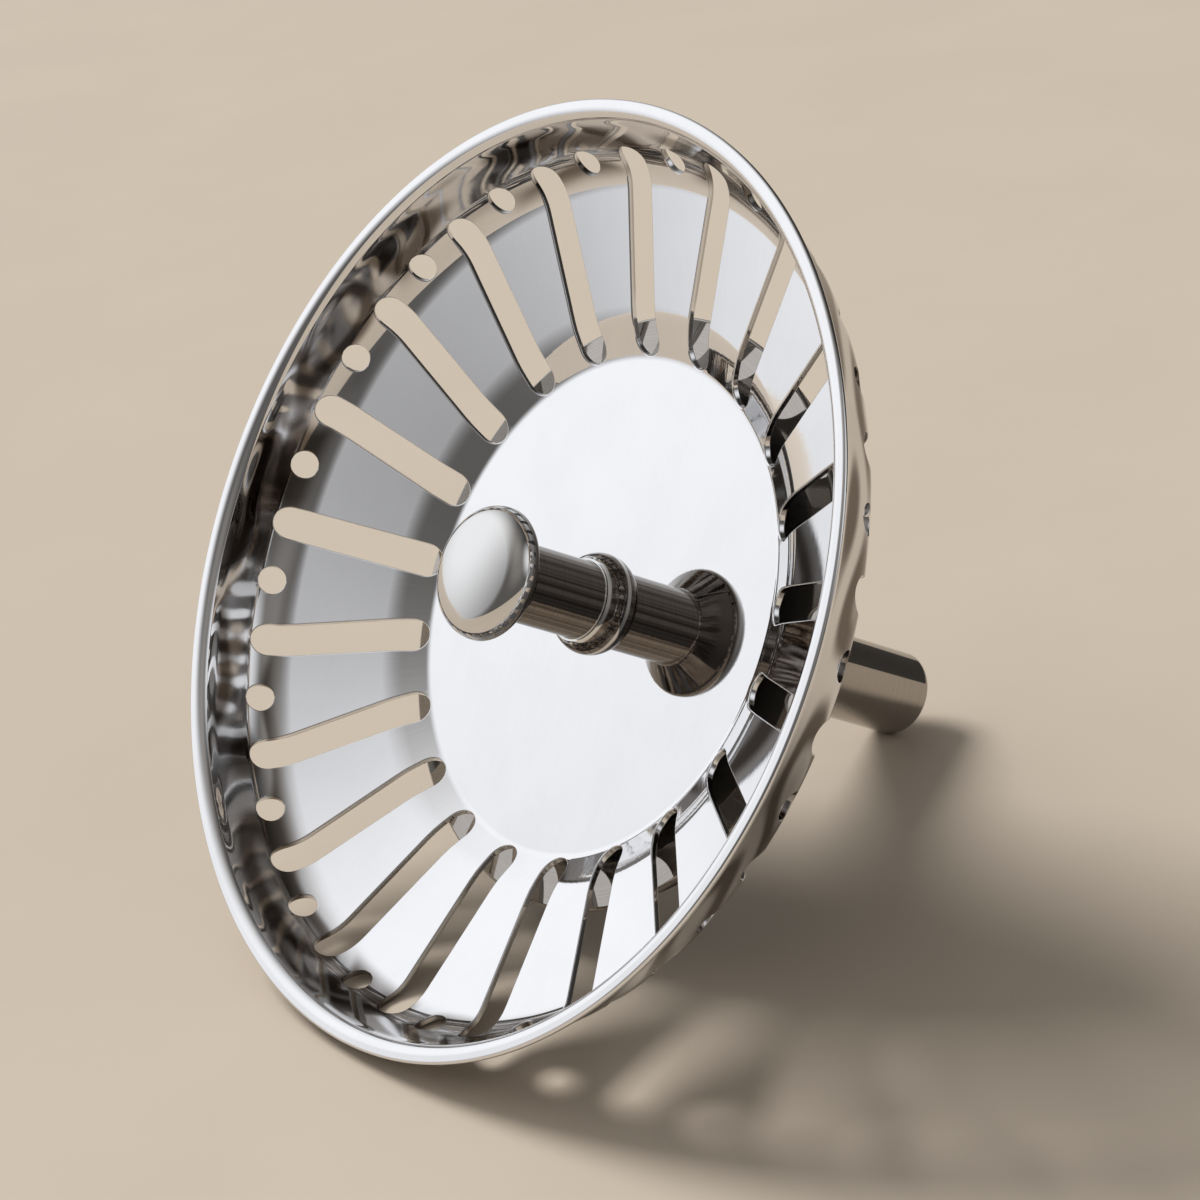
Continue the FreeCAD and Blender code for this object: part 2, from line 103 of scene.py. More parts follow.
# Roughness from the cleanest to the haziest polish, and what the band and the underside add to it
BASKET_POLISH = (0.012, 0.035)
TURNED_POLISH = (0.02, 0.06)
RUBBER_POLISH = (0.5, 0.72)
BAND_SOFTNESS = (0.01, 0.05)
UNDERSIDE_SATIN = 0.1
PLAIN_METALLIC = 0.9

# Stage: the lamp's azimuth and elevation in degrees, counts of the grids, the tent's lowest elevation in radians
LAMP_FROM = (-86.0, 42.0)
TENT_COLUMNS = 97
TENT_ROWS = 41
TENT_FOOT = -0.02
FLOOR_ROWS = 9
CLIP_START = 10.0 * MM

# Floor paint: scale per metre and range of its mottle, the mottle's shade, and roughness
FLOOR_SCALE = 35.0
FLOOR_RANGE = (0.3, 0.7)
FLOOR_SHADE = 0.97
FLOOR_ROUGHNESS = 0.75

# Lights of the tent: strength, azimuth, elevation, and the angles where each is full and where it ends, in degrees
DIM_LEVEL = 0.12
DIM_COLOUR = (1.0, 0.95, 0.89)
DIM_LIGHTS = (
    (0.12, 60.0, 50.0, 10.0, 45.0),
    (0.18, -60.0, 85.0, 0.0, 50.0),
    (-0.08, 175.0, 30.0, 20.0, 85.0),
)
BRIGHT_COLOUR = (0.98, 1.0, 1.03)
BRIGHT_LIGHTS = ((1.0, -74.0, 27.0, 10.0, 70.0), (0.8, 117.0, 31.0, 6.0, 32.0))


# Property helpers
def length(name, description, millimetres):
    """Size, kept in metres."""
    return bpy.props.FloatProperty(
        name=name, description=description, default=millimetres * MM, min=0.0, unit="LENGTH", precision=5
    )


def degrees(name, description, default):
    """Angle, kept in radians."""
    return bpy.props.FloatProperty(
        name=name, description=description, default=math.radians(default), min=0.0, subtype="ANGLE"
    )


def number(name, description, default, lowest):
    return bpy.props.IntProperty(name=name, description=description, default=default, min=lowest)


def colour(name, description, default):
    return bpy.props.FloatVectorProperty(
        name=name, description=description, default=default, size=3, min=0.0, max=1.0, subtype="COLOR"
    )


def vector(name, description, default, subtype, unit="NONE"):
    return bpy.props.FloatVectorProperty(
        name=name, description=description, default=default, size=3, subtype=subtype, unit=unit
    )


class BasketSizes(bpy.types.PropertyGroup):
    """Sizes of the pressed basket."""

    sheet_thickness: length("Sheet thickness", "Thickness of the pressed sheet", 0.6)
    rim_radius: length("Rim radius", "Outer radius of the turned-out lip", 42.0)
    lip_width: length("Lip width", "Width of the flat lip before its bend", 1.5)
    lip_bend: length("Lip bend", "Inside radius of the bend under the lip", 0.5)
    lip_edge_round: length("Lip edge round", "Round on the lip's free edge", 0.28)
    corner_radius: length("Corner ring radius", "Radius of the ring where band and cone meet", 38.5)
    corner_depth: length("Corner ring depth", "Depth of that ring below the rim", 6.8)
    corner_bend: length("Corner bend", "Inside radius of the bend between band and cone", 4.6)
    step_radius: length("Step radius", "Radius of the ring where cone and step meet", 25.7)
    step_depth: length("Step depth", "Depth of that ring below the rim", 11.2)
    step_bend: length("Step bend", "Inside radius of the bend between cone and step", 9.4)
    base_radius: length("Base radius", "Radius of the flat base", 22.5)
    base_depth: length("Base depth", "Depth of the flat base below the rim", 13.1)
    base_bend: length("Base bend", "Inside radius of the bend round the base", 1.2)
    centre_hole: length("Centre hole", "Radius of the hole for the stem's thread", 2.15)
    centre_hole_round: length("Centre hole round", "Round on the edges of the centre hole", 0.1)
    straight_step: length("Row spacing", "Widest gap between rows of the mesh on a straight run", 2.6)


class PunchSizes(bpy.types.PropertyGroup):
    """Sizes of the slots and holes punched through the basket."""

    slots: number("Slot count", "Slots round the basket, with as many holes", 21, 3)
    slot_half_width: length("Slot half width", "Half of a slot's width", 1.5)
    slot_inner_radius: length("Slot inner radius", "Radius at which a slot starts", 22.6)
    slot_top_depth: length("Slot top depth", "Depth below the rim at which a slot ends", 4.7)
    hole_radius: length("Hole radius", "Radius of a drain hole", 1.3)
    hole_ring: length("Hole ring radius", "Radius of the ring of drain holes", 38.8)
    hole_depth: length("Hole depth", "Depth of the drain holes below the rim", 5.9)
    hole_slope: degrees("Hole slope", "Angle of a drain hole's axis above the rim's plane", 35.0)
    edge_round: length("Edge round", "Round on the punched edges", 0.13)
    edge_margin: length("Edge margin", "Width of the mesh strip round each punched edge", 0.5)
    rib_columns: number("Rib columns", "Faces across half a rib", 6, 2)


class HandleSizes(bpy.types.PropertyGroup):
    """Sizes of the turned handle."""

    knob_radius: length("Knob radius", "Largest radius of the knob", 5.92)
    knob_height: length("Knob height", "Height of the knob's top above the rim", 1.8)
    knob_edge_depth: length("Knob edge depth", "Depth of the knob's widest ring below the rim", 1.0)
    shoulder_radius: length("Shoulder radius", "Radius of the arc at the dome's edge", 2.2)
    under_radius: length("Under radius", "Radius of the arc below the knob's widest ring", 0.7)
    neck_depth: length("Neck depth", "Depth at which the knob meets the post", 3.4)
    neck_round: length("Neck round", "Round between knob and post", 0.5)
    post_radius: length("Post radius", "Radius of the post", 3.5)
    foot_radius: length("Foot radius", "Radius of the flared foot on the base", 4.6)
    foot_height: length("Foot height", "Height of the flared foot", 1.8)
    foot_step: length("Foot step", "Width of the small ledge on top of the foot", 0.25)
    foot_step_round: length("Foot step round", "Round in the corner above the ledge", 0.12)
    thread_radius: length("Thread radius", "Radius of the tapped hole", 2.0)
    tapped_depth: length("Tapped depth", "Depth of the tapped hole from the foot", 6.5)
    drill_point: length("Drill point", "Height of the drill's point above the tapped hole", 1.2)


class StackSizes(bpy.types.PropertyGroup):
    """Sizes of the washers, plate and seal under the base."""

    hole_radius: length("Hole radius", "Radius of the hole in each ring", 2.15)
    packing_radius: length("Packing radius", "Radius of the packing washer", 9.0)
    packing_thickness: length("Packing thickness", "Thickness of the packing washer", 1.6)
    plate_radius: length("Plate radius", "Radius of the seal plate", 26.9)
    plate_thickness: length("Plate thickness", "Thickness of the seal plate", 0.8)
    plate_edge_round: length("Plate edge round", "Round on the plate's edge", 0.3)
    seal_radius: length("Seal radius", "Radius of the rubber seal", 26.0)
    seal_thickness: length("Seal thickness", "Thickness of the rubber seal", 3.0)
    seal_chamfer: length("Seal chamfer", "Bevel on the seal's lower edge", 1.2)
    seal_edge_round: length("Seal edge round", "Round on the rubber's edges", 0.25)
    recess_radius: length("Recess radius", "Radius of the recess for the retaining washer", 11.2)
    washer_sink: length("Washer sink", "Depth of that recess", 0.4)
    retaining_radius: length("Retaining radius", "Radius of the retaining washer", 11.0)
    retaining_thickness: length("Retaining thickness", "Thickness of the retaining washer", 1.2)
    retaining_chamfer: length("Retaining chamfer", "Bevel on the retaining washer's lower edge", 0.3)
    edge_round: length("Edge round", "Round on the steel rings' edges", 0.08)


class StemSizes(bpy.types.PropertyGroup):
    """Sizes of the turned stem."""

    radius: length("Stem radius", "Radius of the plain pin", 4.0)
    end_depth: length("End depth", "Depth of the stem's end below the rim", 53.3)
    end_round: length("End round", "Round on the stem's free end", 0.7)
    thread_radius: length("Thread radius", "Radius of the threaded spigot", 2.0)
    spigot_gap: length("Spigot gap", "Gap between the spigot and the end of the tapped hole", 0.9)
    edge_round: length("Edge round", "Round on the shoulder and the spigot's end", 0.15)


class PlugFinishAndPaintedLight(bpy.types.PropertyGroup):
    """Colours and polish of the plug, with painted shade, painted highlights and painted reflections among the
    colours.
    """

    basket_colour: colour("Basket steel", "Colour of the polished sheet", (0.83, 0.83, 0.845))
    basket_haze: colour("Basket haze", "Colour of the sheet where its polish is hazier", (0.805, 0.805, 0.82))
    # Painted shade: the cone's underside is painted darker; the satin roughness there is added separately
    underside_shade_colour: colour("Basket underside", "Colour of the cone's duller underside", (0.56, 0.555, 0.55))
    # Painted reflections: dark streaks painted into the band's colour
    painted_reflection_colour: colour("Band streaks", "Colour of the streaks that pressing leaves", (0.13, 0.105, 0.085))
    # Bright steel of the dome, also the colour of the painted highlights on the foot's edges
    dome_and_highlight_colour: colour("Dome steel", "Colour of the knob's polished dome", (0.74, 0.735, 0.73))
    # Painted shade: the post and washers are painted darker than the dome, and their grooves' colour with them
    shaded_steel_colour: colour("Smoked steel", "Colour of the other turned pieces", (0.27, 0.237, 0.212))
    shaded_steel_groove: colour("Smoked grooves", "Colour in their fine turned grooves", (0.225, 0.196, 0.172))
    # Painted reflections: dark lines painted along the post
    painted_reflection_line_colour: colour("Smoked lines", "Colour of the darker lines along the post", (0.075, 0.062, 0.053))
    plain_colour: colour("Plain steel", "Colour of the seal plate and the stem", (0.46, 0.43, 0.40))
    plain_groove: colour("Plain grooves", "Colour in their fine turned grooves", (0.40, 0.37, 0.34))
    rubber_colour: colour("Rubber", "Colour of the seal", (0.022, 0.022, 0.023))
    rubber_bloom: colour("Rubber bloom", "Paler film on the seal", (0.055, 0.054, 0.052))
    ripple_depth: length("Ripple depth", "Height of the ripples that pressing leaves on the band", 0.11)
    drawn_depth: length("Drawn line depth", "Height of the fine lines that drawing leaves on the step", 0.004)
    polish_depth: length("Polish depth", "Height of the fine polishing marks", 0.0004)
    rubber_skin: length("Rubber skin", "Height of the rubber's mottled skin", 0.03)


class StageSettings(bpy.types.PropertyGroup):
    """Floor, light and camera."""

    floor_colour: colour("Floor", "Colour of the floor", (0.655, 0.56, 0.45))
    background: colour("Background", "Colour beyond the floor", (0.655, 0.56, 0.45))
    floor_size: length("Floor size", "Half the width of the floor", 4000.0)
    tent_radius: length("Tent radius", "Radius of the light tent", 6000.0)
    lamp_strength: bpy.props.FloatProperty(
        name="Lamp strength", description="Light on a surface that faces the lamp", default=2.7, min=0.0
    )
    lamp_spread: degrees("Lamp spread", "Angle that the lamp fills, which softens shadows", 23.0)
    camera_place: vector(
        "Camera place", "Where the camera stands", (0.209928, -0.135098, 0.143182), "TRANSLATION", "LENGTH"
    )
    camera_right: vector(
        "Camera right", "Direction that points right in the picture", (0.60561, 0.77380, -0.18564), "DIRECTION"
    )
    camera_forward: vector(
        "Camera forward", "Direction that the camera looks in", (-0.76070, 0.49447, -0.42051), "DIRECTION"
    )
    lens: bpy.props.FloatProperty(
        name="Lens", description="Focal length on a 36 mm sensor, in millimetres", default=93.93, min=1.0
    )


# Lying pose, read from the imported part's stem mount
STEM_MOUNT = next(mount for mount in frame["record"]["mounts"] if mount["name"] == "stem")
KNOB_SIDE = -np.array(STEM_MOUNT["axis"], float)
ACROSS = np.array([1.0, 0.0, 0.0])
SLOT_SIDE = np.cross(ACROSS, KNOB_SIDE)
PLUG_TURN = np.column_stack([SLOT_SIDE, ACROSS, KNOB_SIDE])


def stack_depths(scene):
    """Depth of each ring's top below the rim, from the base down to the stem's shoulder."""
    basket = scene.plug_basket
    stack = scene.plug_stack
    packing = basket.base_depth + basket.sheet_thickness
    plate = packing + stack.packing_thickness
    seal = plate + stack.plate_thickness
    seal_face = seal + stack.seal_thickness
    retaining = seal_face - stack.washer_sink
    shoulder = retaining + stack.retaining_thickness
    return packing, plate, seal, seal_face, retaining, shoulder


def rim_centre(scene):
    """Middle of the rim's top plane: the stem mount's middle, moved back along the axis by its depth."""
    stem = scene.plug_stem
    shoulder = stack_depths(scene)[-1]
    middle_depth = (shoulder + stem.end_depth - stem.end_round) / 2
    return np.array(STEM_MOUNT["pos_m"], float) + KNOB_SIDE * middle_depth


# Profiles: rows of radius, height and the outward normal in the section's plane
def rounded_path(corners, rounds):
    """Polyline with each inner corner replaced by an arc of the given radius.

    An arc's point is its centre plus or minus the radius times the left-hand normal, which turns
    evenly from one run's normal to the next run's. A radius of 0 gives a sharp corner, as one point
    with each run's normal.
    """
    corners = np.asarray(corners, float)
    runs = np.diff(corners, axis=0)
    headings = np.arctan2(runs[:, 1], runs[:, 0])
    rows = [[*corners[0], headings[0]]]
    for corner, radius, before, after in zip(corners[1:-1], rounds, headings[:-1], headings[1:]):
        turn = (after - before + math.pi) % (2 * math.pi) - math.pi
        side = np.sign(turn)
        back = radius * math.tan(abs(turn) / 2)
        start = corner - back * np.array([math.cos(before), math.sin(before)])
        centre = start + side * radius * np.array([-math.sin(before), math.cos(before)])
        count = max(1, math.ceil(abs(turn) / ARC_STEP)) if radius else 1
        for heading in before + turn * np.linspace(0.0, 1.0, count + 1):
            point = centre - side * radius * np.array([-math.sin(heading), math.cos(heading)])
            rows.append([*point, heading])
    rows.append([*corners[-1], headings[-1]])
    rows = np.array(rows)
    return np.column_stack([rows[:, :2], -np.sin(rows[:, 2]), np.cos(rows[:, 2])])


def arc_path(centre, radius, first, last):
    """Arc round a centre from the first to the last angle: centre plus radius times the normal."""
    count = max(2, math.ceil(abs(last - first) / ARC_STEP))
    angle = np.linspace(first, last, count + 1)
    normal = np.column_stack([np.cos(angle), np.sin(angle)])
    return np.column_stack([np.asarray(centre) + radius * normal, normal])


# Meshes
def grid_quads(rows, columns, start=0, flip=False):
    """Faces of a grid whose points are numbered row by row."""
    index = start + np.arange(rows * columns).reshape(rows, columns)
    quads = np.stack([index[:-1, :-1], index[1:, :-1], index[1:, 1:], index[:-1, 1:]], axis=-1).reshape(-1, 4)
    return quads[:, ::-1] if flip else quads


def new_piece(scene, name, points, normals, quads):
    """Welds grid points that coincide, drops collapsed corners and gives each corner its own normal."""
    first = np.arange(len(points))
    merged = first
    for shift in WELD_SHIFTS:
        keys = np.round(points[first] / WELD + shift).astype(np.int64)
        _, kept, renamed = np.unique(keys, axis=0, return_index=True, return_inverse=True)
        first = first[kept]
        merged = renamed.reshape(-1)[merged]
    corners = merged[quads]
    kept = corners != np.roll(corners, -1, axis=1)
    whole = kept.sum(axis=1) >= 3
    kept = kept[whole]
    loops = corners[whole][kept]
    loop_normals = normals[quads][whole][kept] @ PLUG_TURN.T
    starts = np.concatenate([[0], np.cumsum(kept.sum(axis=1))[:-1]])
    mesh = bpy.data.meshes.new(name)
    mesh.vertices.add(len(first))
    mesh.vertices.foreach_set("co", (points[first] @ PLUG_TURN.T + rim_centre(scene)).ravel())
    mesh.loops.add(len(loops))
    mesh.loops.foreach_set("vertex_index", loops.astype(np.int32))
    mesh.polygons.add(len(starts))
    mesh.polygons.foreach_set("loop_start", starts.astype(np.int32))
    mesh.update(calc_edges=True)
    if mesh.validate():
        raise RuntimeError(f"{name} has faulty faces")
    mesh.polygons.foreach_set("use_smooth", np.ones(len(starts), bool))
    mesh.normals_split_custom_set(loop_normals)
    piece = bpy.data.objects.new(name, mesh)
    scene.collection.objects.link(piece)
    return piece


def revolve(profile, turn):
    """Points and normals of a profile's rows at the given turns about the axis, as a grid."""
    radius, height, out, up = (column[:, None] for column in profile.T)
    cos, sin, level = np.cos(turn), np.sin(turn), np.ones_like(turn)
    points = np.stack([radius * cos, radius * sin, height * level], axis=-1)
    normals = np.stack([out * cos, out * sin, up * level], axis=-1)
    return points, normals


def turned_piece(scene, name, profile):
    """Surface of revolution: each row of the profile goes round the axis in a full circle."""
    turn = np.linspace(0.0, 2 * math.pi, TURNED_SEGMENTS + 1)
    turn[-1] = 0.0
    points, normals = revolve(profile, turn)
    quads = grid_quads(len(profile), len(turn))
    return new_piece(scene, name, points.reshape(-1, 3), normals.reshape(-1, 3), quads)


def dress(piece, material, slot, *nodes):
    """Gives a piece its material and its body, and hides the nodes that it stands for. The slot is not used."""
    piece.data.materials.append(material)
    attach(piece, BODY)
    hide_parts(*nodes)


# Materials
def new_group(name, inputs, outputs):
    """Empty shader node group. A socket with the default None is a vector, and any other a value."""
    group = bpy.data.node_groups.new(name, "ShaderNodeTree")
    for side, sockets in (("INPUT", inputs), ("OUTPUT", outputs)):
        for label, default in sockets.items():
            kind = "NodeSocketVector" if default is None else "NodeSocketFloat"
            socket = group.interface.new_socket(name=label, in_out=side, socket_type=kind)
            if side == "INPUT" and default is not None:
                socket.default_value = default
    return group, group.nodes.new("NodeGroupInput"), group.nodes.new("NodeGroupOutput")


def feed(tree, socket, source):
    """Links an output to a socket, or sets the socket to a constant."""
    if isinstance(source, bpy.types.NodeSocket):
        tree.links.new(source, socket)
    else:
        socket.default_value = source


def math_node(tree, operation, *sources):
    node = tree.nodes.new("ShaderNodeMath")
    node.operation = operation
    for socket, source in zip(node.inputs, sources):
        feed(tree, socket, source)
    return node.outputs["Value"]


def vector_math(tree, operation, first, second=None):
    node = tree.nodes.new("ShaderNodeVectorMath")
    node.operation = operation
    feed(tree, node.inputs[0], first)
    if second is not None:
        feed(tree, node.inputs[1], second)
    return node.outputs["Value" if operation == "LENGTH" else "Vector"]


def map_range(tree, value, fade, low=0.0, high=1.0):
    """Smooth step from a low to a high value over the given range."""
    node = tree.nodes.new("ShaderNodeMapRange")
    node.interpolation_type = "SMOOTHSTEP"
    for socket, source in zip(node.inputs[:5], (value, *fade, low, high)):
        feed(tree, socket, source)
    return node.outputs["Result"]


def noise(tree, place, scale, detail, roughness=0.5):
    node = tree.nodes.new("ShaderNodeTexNoise")
    for name, source in (("Vector", place), ("Scale", scale), ("Detail", detail), ("Roughness", roughness)):
        feed(tree, node.inputs[name], source)
    return node.outputs["Fac"]


def stretched(tree, place, scale, turn=(0.0, 0.0, 0.0)):
    """Place that is turned and scaled, which stretches a noise."""
    node = tree.nodes.new("ShaderNodeMapping")
    for name, source in (("Vector", place), ("Rotation", turn), ("Scale", scale)):
        feed(tree, node.inputs[name], source)
    return node.outputs["Vector"]


def joined(tree, x, y):
    """Place made of two values."""
    node = tree.nodes.new("ShaderNodeCombineXYZ")
    feed(tree, node.inputs["X"], x)
    feed(tree, node.inputs["Y"], y)
    return node.outputs["Vector"]


def plug_axes_group(scene):
    """Place in the plug's own axes, in millimetres from the rim's middle, with its radius, height and turn."""
    outputs = {"Local": None, "Radius": 0.0, "Height": 0.0, "Turn": 0.0}
    group, entry, leave = new_group("plug_axes", {"Place": None}, outputs)
    turn = group.nodes.new("ShaderNodeMapping")
    turn.vector_type = "TEXTURE"
    turn.inputs["Location"].default_value = rim_centre(scene)
    turn.inputs["Rotation"].default_value = Matrix(PLUG_TURN.tolist()).to_euler("XYZ")
    turn.inputs["Scale"].default_value = (MM, MM, MM)
    group.links.new(entry.outputs["Place"], turn.inputs["Vector"])
    local = turn.outputs["Vector"]
    split = group.nodes.new("ShaderNodeSeparateXYZ")
    group.links.new(local, split.inputs["Vector"])
    flat = vector_math(group, "MULTIPLY", local, (1.0, 1.0, 0.0))
    around = math_node(group, "ARCTAN2", split.outputs["Y"], split.outputs["X"])
    sources = (local, vector_math(group, "LENGTH", flat), split.outputs["Z"], around)
    for name, source in zip(outputs, sources):
        group.links.new(source, leave.inputs[name])


def polish_haze_group():
    """Cloudy mask of where a polish is hazier: broad clouds with finer wipe marks in them."""
    group, entry, leave = new_group("polish_haze", {"Local": None, "Cloud Scale": 0.16}, {"Mask": 0.0})
    local = entry.outputs["Local"]
    cloud = noise(group, local, entry.outputs["Cloud Scale"], detail=3.0)
    wiped = noise(group, stretched(group, local, WIPE_SCALE, WIPE_TURN), scale=1.0, detail=4.0)
    both = math_node(group, "MULTIPLY_ADD", wiped, WIPE_SHARE, cloud)
    group.links.new(map_range(group, both, HAZE_RANGE), leave.inputs["Mask"])


def turning_lines_group():
    """Height of the fine rings that a lathe leaves: noise that changes only with radius and height."""
    inputs = {"Radius": 0.0, "Height": 0.0, "Lines per mm": 7.0}
    group, entry, leave = new_group("turning_lines", inputs, {"Lines": 0.0})
    place = joined(group, entry.outputs["Radius"], entry.outputs["Height"])
    group.links.new(noise(group, place, entry.outputs["Lines per mm"], detail=2.0), leave.inputs["Lines"])


def ripple_and_painted_reflections_group():
    """Ripples that pressing leaves on the steep band, and painted reflections among them: dark streaks of colour.

    The ripple is smooth noise, longer round the rim than down the band. The painted reflections are a sine of
    another, longer noise, so that they run along its contours, as grain does in wood.
    """
    inputs = {"Local": None, "Radius": 0.0, "Height": 0.0}
    group, entry, leave = new_group("ripple_and_painted_reflections", inputs, {"Ripple": 0.0, "Streaks": 0.0, "Softness": 0.0})
    local = entry.outputs["Local"]
    ripple = noise(group, stretched(group, local, RIPPLE_SCALE), scale=1.0, detail=0.0)
    grain = noise(group, stretched(group, local, GRAIN_SCALE), scale=1.0, detail=0.0)
    wave = math_node(group, "SINE", math_node(group, "MULTIPLY", grain, PAINTED_STREAK_WAVES))
    on_band = map_range(group, entry.outputs["Radius"], BAND_FADE)
    below_lip = map_range(group, entry.outputs["Height"], LIP_FADE, 1.0, 0.0)
    mask = math_node(group, "MULTIPLY", on_band, below_lip)
    levels = {
        "Ripple": math_node(group, "SUBTRACT", ripple, NOISE_MIDDLE),
        "Streaks": map_range(group, wave, PAINTED_STREAK_RANGE, *PAINTED_STREAK_SHARE),
        "Softness": map_range(group, grain, SOFT_RANGE, *BAND_SOFTNESS),
    }
    for name, level in levels.items():
        group.links.new(math_node(group, "MULTIPLY", level, mask), leave.inputs[name])


def fine_lines_group():
    """Fine lines along a piece between two radii: noise that changes fast round the axis and slowly along it."""
    inputs = {"Turn": 0.0, "Radius": 0.0, "Inner Radius": 22.6, "Outer Radius": 26.8, "Closeness": 60.0}
    group, entry, leave = new_group("fine_lines", inputs, {"Lines": 0.0})
    radius = entry.outputs["Radius"]
    close = math_node(group, "MULTIPLY", entry.outputs["Turn"], entry.outputs["Closeness"])
    place = joined(group, close, math_node(group, "MULTIPLY", radius, LINE_SCALE))
    lines = noise(group, place, scale=1.0, detail=3.0, roughness=0.6)
    level = math_node(group, "SUBTRACT", lines, NOISE_MIDDLE)
    inside = math_node(group, "SUBTRACT", radius, entry.outputs["Inner Radius"])
    outside = math_node(group, "SUBTRACT", entry.outputs["Outer Radius"], radius)
    mask = map_range(group, math_node(group, "MINIMUM", inside, outside), LINE_FADE)
    group.links.new(math_node(group, "MULTIPLY", level, mask), leave.inputs["Lines"])


def new_material(name):
    """Material with only a Principled shader. Gives its tree and the shader."""
    material = bpy.data.materials.new(name)
    material.use_nodes = True
    tree = material.node_tree
    return tree, next(node for node in tree.nodes if node.type == "BSDF_PRINCIPLED")


def plug_axes(tree):
    """Own axes of the plug, from Object coordinates."""
    place = tree.nodes.new("ShaderNodeTexCoord")
    axes = tree.nodes.new("ShaderNodeGroup")
    axes.node_tree = bpy.data.node_groups["plug_axes"]
    tree.links.new(place.outputs["Object"], axes.inputs["Place"])
    return axes.outputs


def place_group(tree, axes, name, **settings):
    """Node group whose inputs take the plug's axes of the same names, or else the settings."""
    node = tree.nodes.new("ShaderNodeGroup")
    node.node_tree = bpy.data.node_groups[name]
    for socket in node.inputs:
        if socket.name in axes:
            tree.links.new(axes[socket.name], socket)
    for label, value in settings.items():
        node.inputs[label.replace("_", " ").title()].default_value = value
    return node.outputs


def blend(tree, mask, first, second):
    """Colour between two colours or colour outputs, by a mask."""
    mix = tree.nodes.new("ShaderNodeMix")
    mix.data_type = "RGBA"
    tree.links.new(mask, mix.inputs["Factor"])
    for name, source in (("A", first), ("B", second)):
        feed(tree, mix.inputs[name], source if isinstance(source, bpy.types.NodeSocket) else (*source, 1.0))
    return mix.outputs["Result"]


def bump(tree, shader, height, depth, before=None):
    """Bump of the given depth in metres. Gives the node, so that another can go on from it."""
    node = tree.nodes.new("ShaderNodeBump")
    node.inputs["Distance"].default_value = depth
    tree.links.new(height, node.inputs["Height"])
    if before is not None:
        tree.links.new(before.outputs["Normal"], node.inputs["Normal"])
    tree.links.new(node.outputs["Normal"], shader.inputs["Normal"])
    return node


def underside_mask(scene, tree, axes):
    """Mask of the cone's underside: 1 below the middle of the sheet, from the cone's straight line."""
    sizes = scene.plug_basket
    slope = (sizes.step_depth - sizes.corner_depth) / (sizes.corner_radius - sizes.step_radius)
    axis_height = -(sizes.step_depth + slope * sizes.step_radius) / MM
    line = math_node(tree, "MULTIPLY_ADD", axes["Radius"], slope, axis_height)
    above = math_node(tree, "SUBTRACT", axes["Height"], line)
    lower = map_range(tree, above, UNDERSIDE_FADE, 1.0, 0.0)
    return math_node(tree, "MULTIPLY", lower, map_range(tree, axes["Radius"], CONE_FADE))


def basket_material(scene):
    """Mirror-polished sheet: faint haze, fine marks, lines from drawing on the step, ripples on the band, painted
    reflections as dark streaks on the band, and painted shade as a darker underside on the cone.
    """
    finish = scene.plug_finish
    tree, shader = new_material("mirror_sheet")
    axes = plug_axes(tree)
    haze = place_group(tree, axes, "polish_haze")["Mask"]
    ripple = place_group(tree, axes, "ripple_and_painted_reflections")
    line_noise = place_group(tree, axes, "fine_lines")["Lines"]
    underside = underside_mask(scene, tree, axes)
    clean = blend(tree, haze, finish.basket_colour, finish.basket_haze)
    # Painted shade: darker colour on the cone's underside
    shaded_underside = blend(tree, underside, clean, finish.underside_shade_colour)
    # Painted reflections: dark streaks in the band's colour
    painted_reflection_streaks = blend(tree, ripple["Streaks"], shaded_underside, finish.painted_reflection_colour)
    tree.links.new(painted_reflection_streaks, shader.inputs["Base Color"])
    polish = map_range(tree, haze, (0.0, 1.0), *BASKET_POLISH)
    soft = math_node(tree, "ADD", polish, ripple["Softness"])
    tree.links.new(math_node(tree, "MULTIPLY_ADD", underside, UNDERSIDE_SATIN, soft), shader.inputs["Roughness"])
    rippled = bump(tree, shader, ripple["Ripple"], finish.ripple_depth)
    lined = bump(tree, shader, line_noise, finish.drawn_depth, rippled)
    bump(tree, shader, noise(tree, axes["Local"], *POLISH_MARKS), finish.polish_depth, lined)
    shader.inputs["Metallic"].default_value = 1.0


def turned_finish(scene, tree, shader, axes, bright, groove):
    """Fine rings from the lathe under a light haze. Gives the colour between bright steel and grooves."""
    lines = place_group(tree, axes, "turning_lines")["Lines"]
    haze = place_group(tree, axes, "polish_haze", cloud_scale=0.4)["Mask"]
    tree.links.new(map_range(tree, haze, (0.0, 1.0), *TURNED_POLISH), shader.inputs["Roughness"])
    bump(tree, shader, lines, scene.plug_finish.polish_depth)
    return blend(tree, map_range(tree, lines, GROOVE_RANGE), bright, groove)


def ring_mask(tree, height, centre, half):
    """Mask that is 1 at a height in millimetres and fades to 0 at half a width from it."""
    away = math_node(tree, "ABSOLUTE", math_node(tree, "SUBTRACT", height, centre))
    return map_range(tree, away, (half * HIGHLIGHT_CORE, half), 1.0, 0.0)


